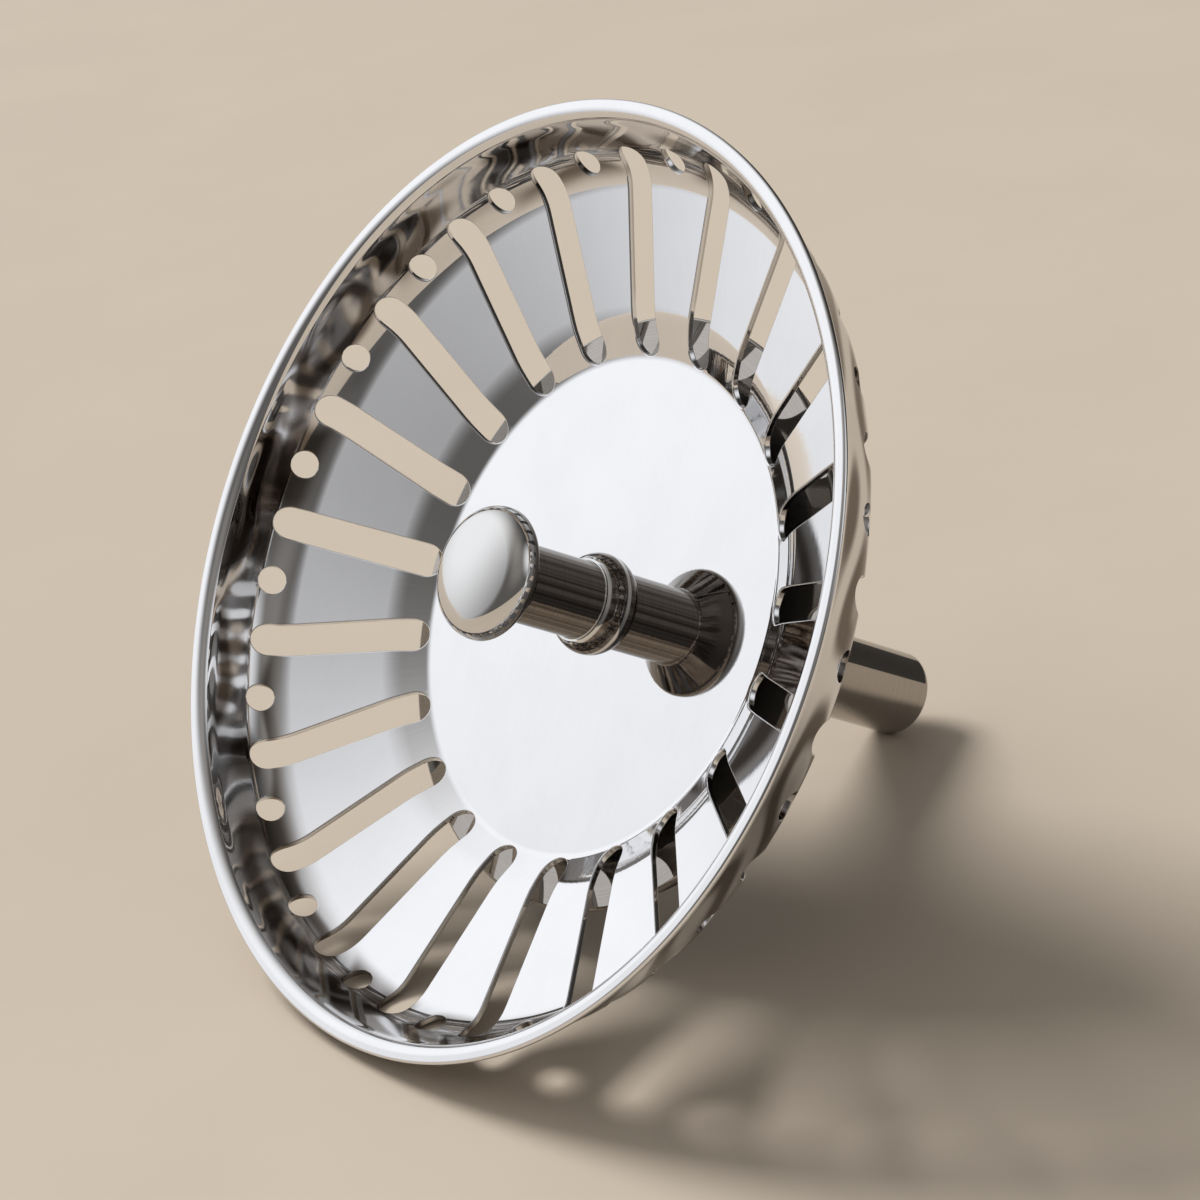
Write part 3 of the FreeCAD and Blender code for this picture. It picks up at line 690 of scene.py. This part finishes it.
def turned_material(scene):
    """Turned steel with painted light: a darker colour as painted shade on the post and washers, painted
    reflections as dark lines along the post, and bright steel on the knob's dome with painted highlights as bright
    rings on the foot's edges.
    """
    finish = scene.plug_finish
    tree, shader = new_material("turned_steel_with_painted_light")
    axes = plug_axes(tree)
    # Painted shade: darker steel colour on the post and washers
    shaded_steel = turned_finish(scene, tree, shader, axes, finish.shaded_steel_colour, finish.shaded_steel_groove)
    # Painted reflections: dark lines along the post, from line noise round the axis
    line_noise = place_group(tree, axes, "fine_lines", inner_radius=2.0, outer_radius=5.2, closeness=7.0)["Lines"]
    lined = blend(tree, map_range(tree, line_noise, POST_REFLECTION_RANGE), shaded_steel, finish.painted_reflection_line_colour)
    ledge = (scene.plug_handle.foot_height - scene.plug_basket.base_depth) / MM
    # Painted highlights: bright rings of dome colour on the foot's edges
    edges = [ring_mask(tree, axes["Height"], ledge + rise, half) for rise, half in FOOT_HIGHLIGHTS]
    painted_foot_highlights = math_node(tree, "MAXIMUM", *edges)
    # Bright dome together with the painted highlights on the foot
    polished = math_node(tree, "MAXIMUM", painted_foot_highlights, map_range(tree, axes["Height"], DOME_FADE))
    tree.links.new(blend(tree, polished, lined, finish.dome_and_highlight_colour), shader.inputs["Base Color"])
    shader.inputs["Metallic"].default_value = 1.0


def plain_material(scene):
    """Plain turned steel of the seal plate and the stem."""
    finish = scene.plug_finish
    tree, shader = new_material("plain_steel")
    steel = turned_finish(scene, tree, shader, plug_axes(tree), finish.plain_colour, finish.plain_groove)
    tree.links.new(steel, shader.inputs["Base Color"])
    shader.inputs["Metallic"].default_value = PLAIN_METALLIC


def rubber_material(scene):
    """Black rubber with a paler film and a fine mottled skin."""
    finish = scene.plug_finish
    tree, shader = new_material("black_rubber")
    axes = plug_axes(tree)
    haze = place_group(tree, axes, "polish_haze", cloud_scale=0.3)["Mask"]
    tree.links.new(blend(tree, haze, finish.rubber_colour, finish.rubber_bloom), shader.inputs["Base Color"])
    tree.links.new(map_range(tree, haze, (0.0, 1.0), *RUBBER_POLISH), shader.inputs["Roughness"])
    bump(tree, shader, noise(tree, axes["Local"], *RUBBER_MOTTLE), finish.rubber_skin)


MATERIALS = {
    "mirror_sheet": basket_material,
    "turned_steel_with_painted_light": turned_material,
    "plain_steel": plain_material,
    "black_rubber": rubber_material,
}


def material_of(scene, name):
    """One of the plug's materials, made with its node groups when it is first asked for."""
    if "plug_axes" not in bpy.data.node_groups:
        plug_axes_group(scene)
        polish_haze_group()
        turning_lines_group()
        ripple_and_painted_reflections_group()
        fine_lines_group()
    if name not in bpy.data.materials:
        MATERIALS[name](scene)
    return bpy.data.materials[name]


# Pressed and punched basket
class PressedSheet:
    """Upper line of the basket's section by its arc length, and the punched outlines on it."""

    def __init__(self, basket, punch):
        self.basket = basket
        self.punch = punch
        start = basket.centre_hole + basket.centre_hole_round
        end = basket.rim_radius - basket.lip_edge_round
        corners = [
            (start, -basket.base_depth),
            (basket.base_radius, -basket.base_depth),
            (basket.step_radius, -basket.step_depth),
            (basket.corner_radius, -basket.corner_depth),
            (basket.rim_radius - basket.lip_width, 0.0),
            (end, 0.0),
        ]
        rounds = [
            basket.base_bend,
            basket.step_bend + basket.sheet_thickness,
            basket.corner_bend,
            basket.lip_bend + basket.sheet_thickness,
        ]
        path = rounded_path(corners, rounds)
        chord = np.hypot(*np.diff(path[:, :2], axis=0).T)
        bend = np.arccos(np.clip((path[:-1, 2:] * path[1:, 2:]).sum(axis=1), -1.0, 1.0))
        arc = chord * bend / (2 * np.sin(np.maximum(bend, STRAIGHT) / 2))
        self.knots = np.concatenate([[0.0], np.cumsum(np.where(bend > STRAIGHT, arc, chord))])
        self.heading = np.arctan2(path[:, 3], path[:, 2])
        self.path = path

    def rows(self):
        """Arc lengths of the path's own points, with the straight runs divided evenly."""
        counts = np.ceil(np.diff(self.knots) / self.basket.straight_step).astype(int)
        runs = [np.linspace(a, b, n, endpoint=False) for a, b, n in zip(self.knots, self.knots[1:], counts)]
        return np.concatenate([*runs, self.knots[-1:]])

    def section(self, along):
        """Radius, height and normal of the upper line at an arc length, exact on runs and arcs."""
        along = np.asarray(along, float)
        index = np.clip(np.searchsorted(self.knots, along, side="right") - 1, 0, len(self.knots) - 2)
        gap = self.knots[index + 1] - self.knots[index]
        share = (along - self.knots[index]) / gap
        first = self.heading[index]
        turn = self.heading[index + 1] - first
        angle = first + share * turn
        bent = np.abs(turn) > STRAIGHT
        radius = gap / np.where(bent, turn, 1.0)
        start, end = self.path[index, :2], self.path[index + 1, :2]
        straight = start + share[..., None] * (end - start)
        swing_r = radius * (np.cos(first) - np.cos(angle))
        swing_z = radius * (np.sin(first) - np.sin(angle))
        curved = start + np.stack([swing_r, swing_z], axis=-1)
        place = np.where(bent[..., None], curved, straight)
        return place[..., 0], place[..., 1], np.cos(angle), np.sin(angle)

    def solve(self, measure, wanted):
        """Arc lengths at which a rising measure of the section takes the wanted values."""
        along = np.linspace(0.0, self.knots[-1], SOLVE_SAMPLES)
        return np.interp(wanted, measure(along), along)

    def slot_centres(self):
        """Radius of the centre of a slot's inner end, and height of the centre of its outer end."""
        half = self.punch.slot_half_width
        return self.punch.slot_inner_radius + half, -(self.punch.slot_top_depth + half)

    def hole_offset(self, along):
        """Distance from a hole's axis along the sheet, measured square to the axis."""
        radius, height, _, _ = self.section(along)
        slope = self.punch.hole_slope
        out = radius - self.punch.hole_ring
        up = height + self.punch.hole_depth
        return out * math.sin(slope) + up * math.cos(slope)

    def at_radius(self, radius):
        return self.solve(lambda along: self.section(along)[0], radius)

    def at_height(self, height):
        return self.solve(lambda along: self.section(along)[1] + along * STRAIGHT, height)

    def at_hole_offset(self, offset):
        return self.solve(self.hole_offset, offset)


def half_chord(reach, back):
    """Half the chord of a circle at a distance from its centre: 0 where the outline closes."""
    chord = np.sqrt(np.maximum(reach**2 - back**2, 0.0))
    return np.where(chord > CLOSED_CHORD, chord, 0.0)


def slot_edge(sheet, along, margin, grown):
    """Slot outline at the given margin, moved from the outline at the grown margin along its own normal.

    The outline is a stadium: a half circle seen from above at its inner end, two straight sides, and a
    half circle seen from outside at its outer end. A margin scales the half circles about their centres.
    Gives the arc length, the sideways distance and the direction out of the slot.
    """
    radius, height, _, _ = sheet.section(along)
    inner, outer = sheet.slot_centres()
    half = sheet.punch.slot_half_width
    reach = half + grown
    back = np.where(radius < inner, radius - inner, np.where(height > outer, height - outer, 0.0))
    side = half_chord(reach, back)
    scale = (half + margin) / reach
    if margin == grown:
        return along, side, back / reach, side / reach
    moved = np.where(
        radius < inner,
        sheet.at_radius(inner + back * scale),
        np.where(height > outer, sheet.at_height(outer + back * scale), along),
    )
    return moved, side * scale, back / reach, side / reach


def hole_edge(sheet, along, margin, grown):
    """Hole outline at the given margin, moved from the outline at the grown margin along its own normal."""
    reach = sheet.punch.hole_radius + grown
    back = sheet.hole_offset(along)
    side = half_chord(reach, back)
    scale = (sheet.punch.hole_radius + margin) / reach
    moved = along if margin == grown else sheet.at_hole_offset(back * scale)
    return moved, side * scale, back / reach, side / reach


def merge_rows(kept, more):
    """Adds the rows that don't lie close to a kept row."""
    clear = np.abs(more[:, None] - kept[None, :]).min(axis=1) > ROW_GAP
    return np.sort(np.concatenate([kept, more[clear]]))


def edge_profile(punch, thickness):
    """Section across a punched edge, from the upper to the lower face: margin, depth and normal angle."""
    turn = np.linspace(0.0, math.pi / 2, EDGE_ROWS)
    margin = punch.edge_round * (1 - np.sin(turn))
    depth = punch.edge_round * (1 - np.cos(turn))
    wide = [punch.edge_margin]
    margins = np.concatenate([wide, margin, margin[::-1], wide])
    depths = np.concatenate([[0.0], depth, thickness - depth[::-1], [thickness]])
    angles = np.concatenate([[0.0], turn, math.pi - turn[::-1], [math.pi]])
    return margins, depths, angles


def edge_strip(sheet, outline, along, thickness):
    """Strip over a punched edge: rows follow the outline, columns go round from upper to lower face."""
    grown = sheet.punch.edge_margin
    blocks = []
    for margin, depth, angle in zip(*edge_profile(sheet.punch, thickness)):
        moved, side, back, out = outline(sheet, along, margin, grown)
        radius, height, normal_r, normal_z = sheet.section(moved)
        ring = radius - depth * normal_r
        turn = np.arcsin(side / ring)
        across = -math.sin(angle) * back
        flat = normal_r * math.cos(angle) + across * normal_z
        lift = normal_z * math.cos(angle) - across * normal_r
        points = np.stack([ring * np.cos(turn), side, height - depth * normal_z], axis=-1)
        sideways = flat * np.sin(turn) - math.sin(angle) * out
        normals = np.stack([flat * np.cos(turn), sideways, lift], axis=-1)
        blocks.append((points, normals))
    points = np.stack([block[0] for block in blocks], axis=1)
    normals = np.stack([block[1] for block in blocks], axis=1)
    normals /= np.linalg.norm(normals, axis=-1, keepdims=True)
    return points, normals, True


def rib_face(sheet, along, depth, flip):
    """Half a rib of one face: each row runs at one arc length from the slot's edge to the rib's middle."""
    grown = sheet.punch.edge_margin
    radius, height, normal_r, normal_z = sheet.section(along)
    ring = radius - depth * normal_r
    first = np.arcsin(slot_edge(sheet, along, grown, grown)[1] / ring)
    last = math.pi / sheet.punch.slots - np.arcsin(hole_edge(sheet, along, grown, grown)[1] / ring)
    share = np.linspace(0.0, 1.0, sheet.punch.rib_columns + 1)
    turn = first[:, None] + (last - first)[:, None] * share
    sign = -1.0 if flip else 1.0
    profile = np.column_stack([ring, height - depth * normal_z, sign * normal_r, sign * normal_z])
    return *revolve(profile, turn), flip


def free_edge(sheet, profile):
    """Rounded free edge of the sheet over half a pitch, with the same columns as the ribs."""
    turn = np.linspace(0.0, math.pi / sheet.punch.slots, sheet.punch.rib_columns + 1)
    return *revolve(profile, turn), False


def all_round(blocks, count):
    """Mirrors each half block over its slot's or hole's plane and repeats both round the axis."""
    points, normals, quads = [], [], []
    size = 0
    for (place, normal, flip), offset in blocks:
        rows, columns = place.shape[:2]
        for mirror in (1.0, -1.0):
            side = np.array([1.0, mirror, 1.0])
            for angle in (np.arange(count) + offset) * 2 * math.pi / count:
                turn = np.array(Matrix.Rotation(angle, 3, "Z"))
                points.append((place * side).reshape(-1, 3) @ turn.T)
                normals.append((normal * side).reshape(-1, 3) @ turn.T)
                quads.append(grid_quads(rows, columns, size, flip != (mirror < 0)))
                size += rows * columns
    return np.concatenate(points), np.concatenate(normals), np.concatenate(quads)


def basket_rows(sheet):
    """Arc lengths of the mesh's rows, and of those along a slot and along a hole.

    The outlines' own rows come first, and the section's rows go between them.
    """
    grown = sheet.punch.edge_margin
    inner, outer = sheet.slot_centres()
    turn = np.linspace(0.0, math.pi / 2, SLOT_END_ROWS)
    reach = sheet.punch.slot_half_width + grown
    slot_rows = np.concatenate([
        sheet.at_radius(inner - reach * np.cos(turn)),
        sheet.at_height(outer + reach * np.cos(turn[::-1])),
    ])
    swing = np.linspace(0.0, math.pi, HOLE_ROWS)
    hole_rows = sheet.at_hole_offset(-(sheet.punch.hole_radius + grown) * np.cos(swing))
    section_rows = sheet.rows()
    rows = np.sort(np.concatenate([slot_rows, hole_rows[[0, -1]]]))
    rows = merge_rows(rows, hole_rows[1:-1])
    rows = np.sort(np.concatenate([rows, section_rows[[0, -1]]]))
    rows = merge_rows(rows, section_rows[1:-1])
    return rows, between(rows, slot_rows), between(rows, hole_rows)


def between(rows, span):
    """Rows from the first to the last row of a span."""
    return rows[(rows >= span[0] - SAME_ROW) & (rows <= span[-1] + SAME_ROW)]


def build_basket(scene):
    """Pressed sheet: both faces of the ribs, strips over the punched edges, and the two free edges."""
    basket = scene.plug_basket
    sheet = PressedSheet(basket, scene.plug_punch)
    thickness = basket.sheet_thickness
    rows, slot_rows, hole_rows = basket_rows(sheet)
    lip, hole, top = basket.rim_radius, basket.centre_hole, -basket.base_depth
    lip_start = lip - basket.lip_edge_round
    lip_corners = [(lip_start, 0.0), (lip, 0.0), (lip, -thickness), (lip_start, -thickness)]
    hole_start = hole + basket.centre_hole_round
    hole_corners = [(hole_start, top - thickness), (hole, top - thickness), (hole, top), (hole_start, top)]
    blocks = [
        (rib_face(sheet, rows, 0.0, False), 0.0),
        (rib_face(sheet, rows, thickness, True), 0.0),
        (edge_strip(sheet, slot_edge, slot_rows, thickness), 0.0),
        (edge_strip(sheet, hole_edge, hole_rows, thickness), 0.5),
        (free_edge(sheet, rounded_path(lip_corners, [basket.lip_edge_round] * 2)), 0.0),
        (free_edge(sheet, rounded_path(hole_corners, [basket.centre_hole_round] * 2)), 0.0),
    ]
    return new_piece(scene, "pressed_basket", *all_round(blocks, sheet.punch.slots))


class PLUG_OT_basket(bpy.types.Operator):
    """Builds the pressed basket with its slots and drain holes"""

    bl_idname = "plug.basket"
    bl_label = "Strainer Basket"

    def execute(self, context):
        scene = context.scene
        piece = build_basket(scene)
        dress(piece, material_of(scene, "mirror_sheet"), "polished_basket", "strainer_basket")
        return {"FINISHED"}


# Turned handle
def handle_profile(scene):
    """Section of the handle: crown and shoulder arcs, the knob's underside, post, foot and tapped hole."""
    basket = scene.plug_basket
    sizes = scene.plug_handle
    inset = sizes.knob_radius - sizes.shoulder_radius
    rise = sizes.knob_height + sizes.knob_edge_depth
    crown = (inset**2 + rise**2 - sizes.shoulder_radius**2) / (2 * (rise - sizes.shoulder_radius))
    crown_centre = (0.0, sizes.knob_height - crown)
    shoulder_centre = (inset, -sizes.knob_edge_depth)
    lean = math.atan2(shoulder_centre[1] - crown_centre[1], inset)
    under_centre = np.array([sizes.knob_radius - sizes.under_radius, -sizes.knob_edge_depth])
    neck = np.array([sizes.post_radius, -sizes.neck_depth])
    to_neck = neck - under_centre
    under_end = math.atan2(to_neck[1], to_neck[0]) + math.acos(sizes.under_radius / math.hypot(*to_neck))
    under = arc_path(under_centre, sizes.under_radius, 0.0, under_end)
    base = -basket.base_depth
    ledge = base + sizes.foot_height
    foot_top = (sizes.post_radius + sizes.foot_step, ledge)
    flare_in = sizes.foot_radius - foot_top[0]
    flare = (sizes.foot_height**2 + flare_in**2) / (2 * flare_in)
    flare_centre = (sizes.foot_radius - flare, base)
    shaft = rounded_path(
        [under[-1, :2], neck, (sizes.post_radius, ledge), foot_top], [sizes.neck_round, sizes.foot_step_round]
    )
    hole_top = base + sizes.tapped_depth
    tapped = rounded_path(
        [
            (sizes.foot_radius, base),
            (sizes.thread_radius, base),
            (sizes.thread_radius, hole_top),
            (0.0, hole_top + sizes.drill_point),
        ],
        [0.0, 0.0],
    )
    return np.concatenate([
        arc_path(crown_centre, crown, math.pi / 2, lean),
        arc_path(shoulder_centre, sizes.shoulder_radius, lean, 0.0),
        under,
        shaft,
        arc_path(flare_centre, flare, math.asin(sizes.foot_height / flare), 0.0),
        tapped,
    ])


class PLUG_OT_handle(bpy.types.Operator):
    """Builds the turned handle with its knob, post and foot"""

    bl_idname = "plug.handle"
    bl_label = "Knob Handle"

    def execute(self, context):
        scene = context.scene
        piece = turned_piece(scene, "knob_handle", handle_profile(scene))
        dress(piece, material_of(scene, "turned_steel_with_painted_light"), "polished_turned", "handle")
        return {"FINISHED"}


# Rings under the base
def ring_profile(corners, rounds):
    """Closed section of a ring, which starts and ends in the middle of its inner wall."""
    middle = (np.array(corners[0]) + np.array(corners[-1])) / 2
    return rounded_path([middle, *corners, middle], rounds)


def flat_ring(stack, rim, top, bottom, side):
    """Section of a flat ring, with its own round on the rim."""
    hole, edge = stack.hole_radius, stack.edge_round
    corners = [(hole, -top), (rim, -top), (rim, -bottom), (hole, -bottom)]
    return ring_profile(corners, [edge, side, side, edge])


def packing_profile(scene):
    stack = scene.plug_stack
    packing, plate = stack_depths(scene)[:2]
    return flat_ring(stack, stack.packing_radius, packing, plate, stack.edge_round)


def plate_profile(scene):
    stack = scene.plug_stack
    _, plate, seal = stack_depths(scene)[:3]
    return flat_ring(stack, stack.plate_radius, plate, seal, stack.plate_edge_round)


def seal_profile(scene):
    stack = scene.plug_stack
    _, _, seal, face, recess, _ = stack_depths(scene)
    hole, rim, bevel = stack.hole_radius, stack.seal_radius, stack.seal_chamfer
    corners = [
        (hole, -seal),
        (rim, -seal),
        (rim, bevel - face),
        (rim - bevel, -face),
        (stack.recess_radius, -face),
        (stack.recess_radius, -recess),
        (hole, -recess),
    ]
    soft, small = stack.seal_edge_round, stack.edge_round
    return ring_profile(corners, [small, soft, soft, soft, small, small, small])


def retaining_profile(scene):
    stack = scene.plug_stack
    _, _, _, _, top, shoulder = stack_depths(scene)
    hole, rim, bevel = stack.hole_radius, stack.retaining_radius, stack.retaining_chamfer
    corners = [(hole, -top), (rim, -top), (rim, bevel - shoulder), (rim - bevel, -shoulder), (hole, -shoulder)]
    return ring_profile(corners, [stack.edge_round] * 5)


RINGS = (
    # The washers take the turned steel with its painted shade
    ("packing_ring", packing_profile, "turned_steel_with_painted_light", "polished_turned", "packing_washer"),
    ("polished_plate", plate_profile, "plain_steel", "plain_turned", "seal_plate"),
    ("seal_ring", seal_profile, "black_rubber", "seal_rubber", "rubber_seal"),
    ("retaining_ring", retaining_profile, "turned_steel_with_painted_light", "polished_turned", "retaining_washer"),
)


class PLUG_OT_stack(bpy.types.Operator):
    """Builds the washers, the plate and the rubber seal under the base"""

    bl_idname = "plug.stack"
    bl_label = "Plate, Seal and Washers"

    def execute(self, context):
        scene = context.scene
        for name, profile, finish, slot, node in RINGS:
            piece = turned_piece(scene, name, profile(scene))
            dress(piece, material_of(scene, finish), slot, node)
        return {"FINISHED"}


# Turned stem
def stem_profile(scene):
    """Section of the stem: threaded spigot, shoulder and plain pin with a rounded end."""
    stem = scene.plug_stem
    handle = scene.plug_handle
    shoulder = -stack_depths(scene)[-1]
    top = handle.tapped_depth - scene.plug_basket.base_depth - stem.spigot_gap
    corners = [
        (0.0, top),
        (stem.thread_radius, top),
        (stem.thread_radius, shoulder),
        (stem.radius, shoulder),
        (stem.radius, -stem.end_depth),
        (0.0, -stem.end_depth),
    ]
    return rounded_path(corners, [stem.edge_round, 0.0, stem.edge_round, stem.end_round])


class PLUG_OT_stem(bpy.types.Operator):
    """Builds the turned stem"""

    bl_idname = "plug.stem"
    bl_label = "Stem"

    def execute(self, context):
        scene = context.scene
        piece = turned_piece(scene, "turned_stem", stem_profile(scene))
        dress(piece, material_of(scene, "plain_steel"), "plain_turned", "stem")
        return {"FINISHED"}


# Stage
def direction(azimuth, elevation):
    """Unit vector at an azimuth from -Y towards +X and an elevation, both in degrees."""
    turn, rise = math.radians(azimuth), math.radians(elevation)
    return np.array([math.sin(turn) * math.cos(rise), -math.cos(turn) * math.cos(rise), math.sin(rise)])


def soft_lobe(rays, azimuth, elevation, inside, outside):
    """Light that falls off smoothly between two angles from a direction, in degrees."""
    angle = np.degrees(np.arccos(np.clip(rays @ direction(azimuth, elevation), -1.0, 1.0)))
    share = np.clip((outside - angle) / (outside - inside), 0.0, 1.0)
    return share**2 * (3 - 2 * share)


def tent_light(rays):
    """Light of the tent: a broad soft light from the left, a small one on the right, and dim grey elsewhere."""
    dim = sum((strength * soft_lobe(rays, *lobe) for strength, *lobe in DIM_LIGHTS), DIM_LEVEL)
    bright = sum(strength * soft_lobe(rays, *lobe) for strength, *lobe in BRIGHT_LIGHTS)
    return dim[..., None] * np.array(DIM_COLOUR) + bright[..., None] * np.array(BRIGHT_COLOUR)


def stage_mesh(scene, name, points, quads, material):
    mesh = bpy.data.meshes.new(name)
    mesh.from_pydata(points.tolist(), [], quads.tolist())
    mesh.materials.append(material)
    item = bpy.data.objects.new(name, mesh)
    scene.collection.objects.link(item)
    return item


def build_tent(scene):
    """Half dome of light round the stage: radius times the direction at each azimuth and elevation."""
    azimuth = np.linspace(0.0, 2 * math.pi, TENT_COLUMNS)
    elevation = np.linspace(TENT_FOOT, math.pi / 2, TENT_ROWS)
    turn, rise = np.meshgrid(azimuth, elevation)
    flat = np.cos(rise)
    rays = np.stack([np.sin(turn) * flat, -np.cos(turn) * flat, np.sin(rise)], axis=-1).reshape(-1, 3)
    material = bpy.data.materials.new("tent_glow")
    material.use_nodes = True
    tree = material.node_tree
    tree.nodes.clear()
    level = tree.nodes.new("ShaderNodeAttribute")
    level.attribute_name = "glow"
    shine = tree.nodes.new("ShaderNodeEmission")
    leave = tree.nodes.new("ShaderNodeOutputMaterial")
    tree.links.new(level.outputs["Color"], shine.inputs["Color"])
    tree.links.new(shine.outputs["Emission"], leave.inputs["Surface"])
    material.cycles.emission_sampling = "NONE"
    points = rays * scene.plug_stage.tent_radius
    tent = stage_mesh(scene, "light_tent", points, grid_quads(TENT_ROWS, TENT_COLUMNS), material)
    glow = tent.data.attributes.new("glow", "FLOAT_COLOR", "POINT")
    glow.data.foreach_set("color", np.column_stack([tent_light(rays), np.ones(len(rays))]).ravel())
    tent.visible_camera = False
    tent.visible_shadow = False


def build_floor(scene):
    """Flat floor at height 0, as a grid of two level directions, with a faint mottle in its paint."""
    half = scene.plug_stage.floor_size
    across = np.linspace(-half, half, FLOOR_ROWS)
    x, y = np.meshgrid(across, across)
    points = np.stack([x, y, np.zeros_like(x)], axis=-1).reshape(-1, 3)
    tree, shader = new_material("floor_paint")
    place = tree.nodes.new("ShaderNodeTexCoord")
    mottle = noise(tree, place.outputs["Object"], FLOOR_SCALE, detail=4.0)
    pale = np.array(scene.plug_stage.floor_colour)
    cloudy = blend(tree, map_range(tree, mottle, FLOOR_RANGE), tuple(pale), tuple(pale * FLOOR_SHADE))
    tree.links.new(cloudy, shader.inputs["Base Color"])
    shader.inputs["Roughness"].default_value = FLOOR_ROUGHNESS
    quads = grid_quads(FLOOR_ROWS, FLOOR_ROWS, flip=True)
    floor = stage_mesh(scene, "floor", points, quads, bpy.data.materials["floor_paint"])


def build_lamp(scene):
    """Soft lamp from the left, on the tent's bright side, for the floor. Steel shows only the tent."""
    stage = scene.plug_stage
    data = bpy.data.lights.new("floor_lamp", "SUN")
    data.energy = stage.lamp_strength
    data.angle = stage.lamp_spread
    lamp = bpy.data.objects.new("floor_lamp", data)
    place = direction(*LAMP_FROM)
    facing = Vector(place).to_track_quat("Z", "Y").to_matrix().to_4x4()
    lamp.matrix_world = Matrix.Translation(place) @ facing
    lamp.visible_glossy = False
    scene.collection.objects.link(lamp)


def build_world(scene):
    world = bpy.data.worlds.new("studio")
    world.use_nodes = True
    backdrop = next(node for node in world.node_tree.nodes if node.type == "BACKGROUND")
    backdrop.inputs["Color"].default_value = (*scene.plug_stage.background, 1.0)
    backdrop.inputs["Strength"].default_value = 1.0
    scene.world = world


def build_camera(scene):
    stage = scene.plug_stage
    right = np.array(stage.camera_right)
    back = -np.array(stage.camera_forward)
    right /= np.linalg.norm(right)
    back -= right * (back @ right)
    back /= np.linalg.norm(back)
    up = np.cross(back, right)
    turn = Matrix(np.column_stack([right, up, back]).tolist())
    data = bpy.data.cameras.new("camera")
    data.lens = stage.lens
    data.clip_start = CLIP_START
    camera = bpy.data.objects.new("camera", data)
    camera.matrix_world = Matrix.Translation(stage.camera_place) @ turn.to_4x4()
    scene.collection.objects.link(camera)
    scene.camera = camera


class PLUG_OT_stage(bpy.types.Operator):
    """Builds the floor, the light tent, the lamp, the world and the camera"""

    bl_idname = "plug.stage"
    bl_label = "Stage"

    def execute(self, context):
        scene = context.scene
        build_floor(scene)
        build_tent(scene)
        build_lamp(scene)
        build_world(scene)
        build_camera(scene)
        scene.view_settings.view_transform = "Standard"
        return {"FINISHED"}


class PLUG_PT_panel(bpy.types.Panel):
    """Lists the plug's pieces and their sizes"""

    bl_label = "Strainer Plug"
    bl_idname = "PLUG_PT_panel"
    bl_space_type = "VIEW_3D"
    bl_region_type = "UI"
    bl_category = "Strainer Plug"

    def draw(self, context):
        for operator, groups in STEPS:
            box = self.layout.box()
            box.operator(operator.bl_idname)
            for group in groups:
                settings = getattr(context.scene, group)
                for name in settings.__annotations__:
                    box.prop(settings, name)


GROUPS = {
    "plug_basket": BasketSizes,
    "plug_punch": PunchSizes,
    "plug_handle": HandleSizes,
    "plug_stack": StackSizes,
    "plug_stem": StemSizes,
    "plug_finish": PlugFinishAndPaintedLight,
    "plug_stage": StageSettings,
}
STEPS = (
    (PLUG_OT_basket, ("plug_basket", "plug_punch", "plug_finish")),
    (PLUG_OT_handle, ("plug_handle",)),
    (PLUG_OT_stack, ("plug_stack",)),
    (PLUG_OT_stem, ("plug_stem",)),
    (PLUG_OT_stage, ("plug_stage",)),
)


def register():
    for group in GROUPS.values():
        bpy.utils.register_class(group)
    for name, group in GROUPS.items():
        setattr(bpy.types.Scene, name, bpy.props.PointerProperty(type=group))
    for operator, _ in STEPS:
        bpy.utils.register_class(operator)
    bpy.utils.register_class(PLUG_PT_panel)


def unregister():
    bpy.utils.unregister_class(PLUG_PT_panel)
    for operator, _ in reversed(STEPS):
        bpy.utils.unregister_class(operator)
    for name, group in GROUPS.items():
        delattr(bpy.types.Scene, name)
        bpy.utils.unregister_class(group)


def main():
    register()
    bpy.ops.plug.basket()
    bpy.ops.plug.handle()
    bpy.ops.plug.stack()
    bpy.ops.plug.stem()
    bpy.ops.plug.stage()


if __name__ == "__main__":
    main()
